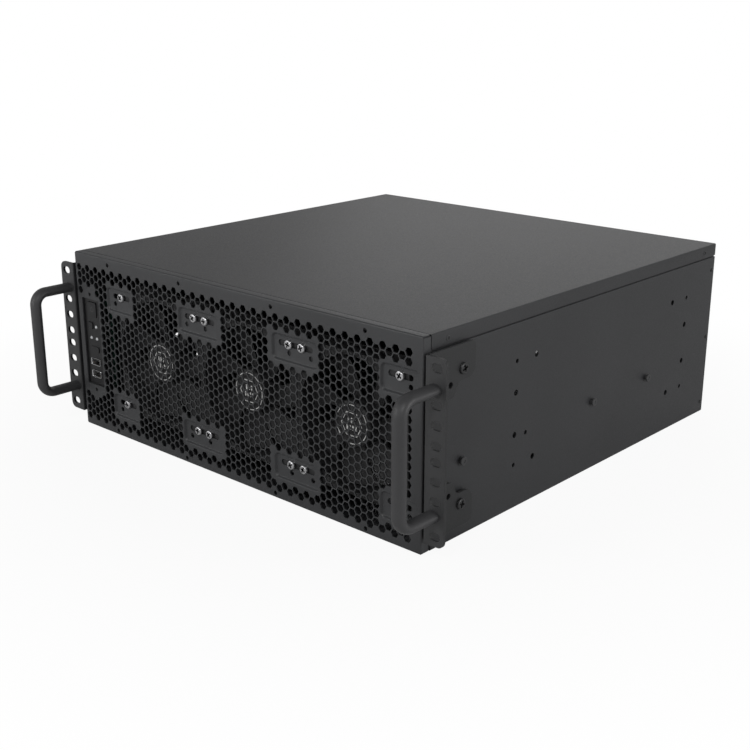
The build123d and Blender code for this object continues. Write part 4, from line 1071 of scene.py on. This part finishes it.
def camera():
    lens = bpy.data.cameras.new("camera")
    lens.sensor_width = 36
    lens.lens = CAMERA_LENS
    obj = bpy.data.objects.new("camera", lens)
    bpy.context.scene.collection.objects.link(obj)
    obj.location = at(*CAMERA_PLACE)
    obj.rotation_euler = (math.radians(90 - CAMERA_DOWN), 0, math.radians(CAMERA_TURN))
    bpy.context.scene.camera = obj


def patched(name, material, test):
    """Gives the faces of a CAD piece whose centre passes a test, in millimetres, another finish."""
    obj = nodes[name]
    obj.data.materials.append(material)
    index = len(obj.data.materials) - 1
    for polygon in obj.data.polygons:
        place = obj.matrix_world @ polygon.center
        if test(place.x / MM, (place.y - FRONT_Y) / MM, place.z / MM):
            polygon.material_index = index


def dress(material, *names, bevel=0.25):
    """Gives a CAD piece its finish and soft edges."""
    for name in names:
        obj = nodes[name]
        obj.data.materials.clear()
        obj.data.materials.append(material)
        if bevel:
            soften(obj, bevel)


front_panel()
cover()
tray()
fasteners()
for side, tag in ((1, "right"), (-1, "left")):
    ear(side, tag)
    handle(side, tag)
for tag, x in zip(("left", "middle", "right"), FAN_X):
    fan(tag, x, FAN_Y, MID_Z, f"fan_frame_{tag}", f"fan_rotor_{tag}")
    hub_print(f"fan_print_{tag}", x, FAN_Y + 0.5, MID_Z, f"fan_rotor_{tag}")
near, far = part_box("cooler_fan_frame")
fan("cooler", (near[0] + far[0]) / 2 / MM, (near[1] - FRONT_Y) / MM, (near[2] + far[2]) / 2 / MM,
    "cooler_fan_frame", "cooler_fan_rotor")
dress(SHEET_GREY, "rear_panel", "supply_case")
dress(PLASTIC, "control_housing", "power_button", "reset_button", "supply_inlet", "rocker_frame", "rocker",
      "graphics_shroud", "blower_rotor", "supply_rotor")
dress(STEEL, "slot_covers", "io_shield", "drive_cage")
dress(SCREW_BLACK, "handle_screws")
dress(BOARD, "control_board", "main_board", "memory_modules", "graphics_card")
dress(BRASS, "board_posts")
dress(ALUMINIUM, "processor", "cooler", "drive_lower", "drive_upper")
# Sockets and slots, connector shells and the heat sink in front of them; the card's bracket
patched("main_board", PLASTIC, lambda x, y, z: z > BOARD_TOP and 200 < y < 430)
patched("main_board", ZINC, lambda x, y, z: z > BOARD_TOP and y > 429)
patched("main_board", ALUMINIUM, lambda x, y, z: z > BOARD_TOP and -14 <= x <= 88 and 391 < y < 423)
patched("graphics_card", STEEL, lambda x, y, z: y > 434 and (z > 104 or abs(x + 83.5) > 1))
rear_ports()
control_details()
stage()
backdrop()
lights()
camera()
bpy.context.scene.view_settings.view_transform = "Standard"
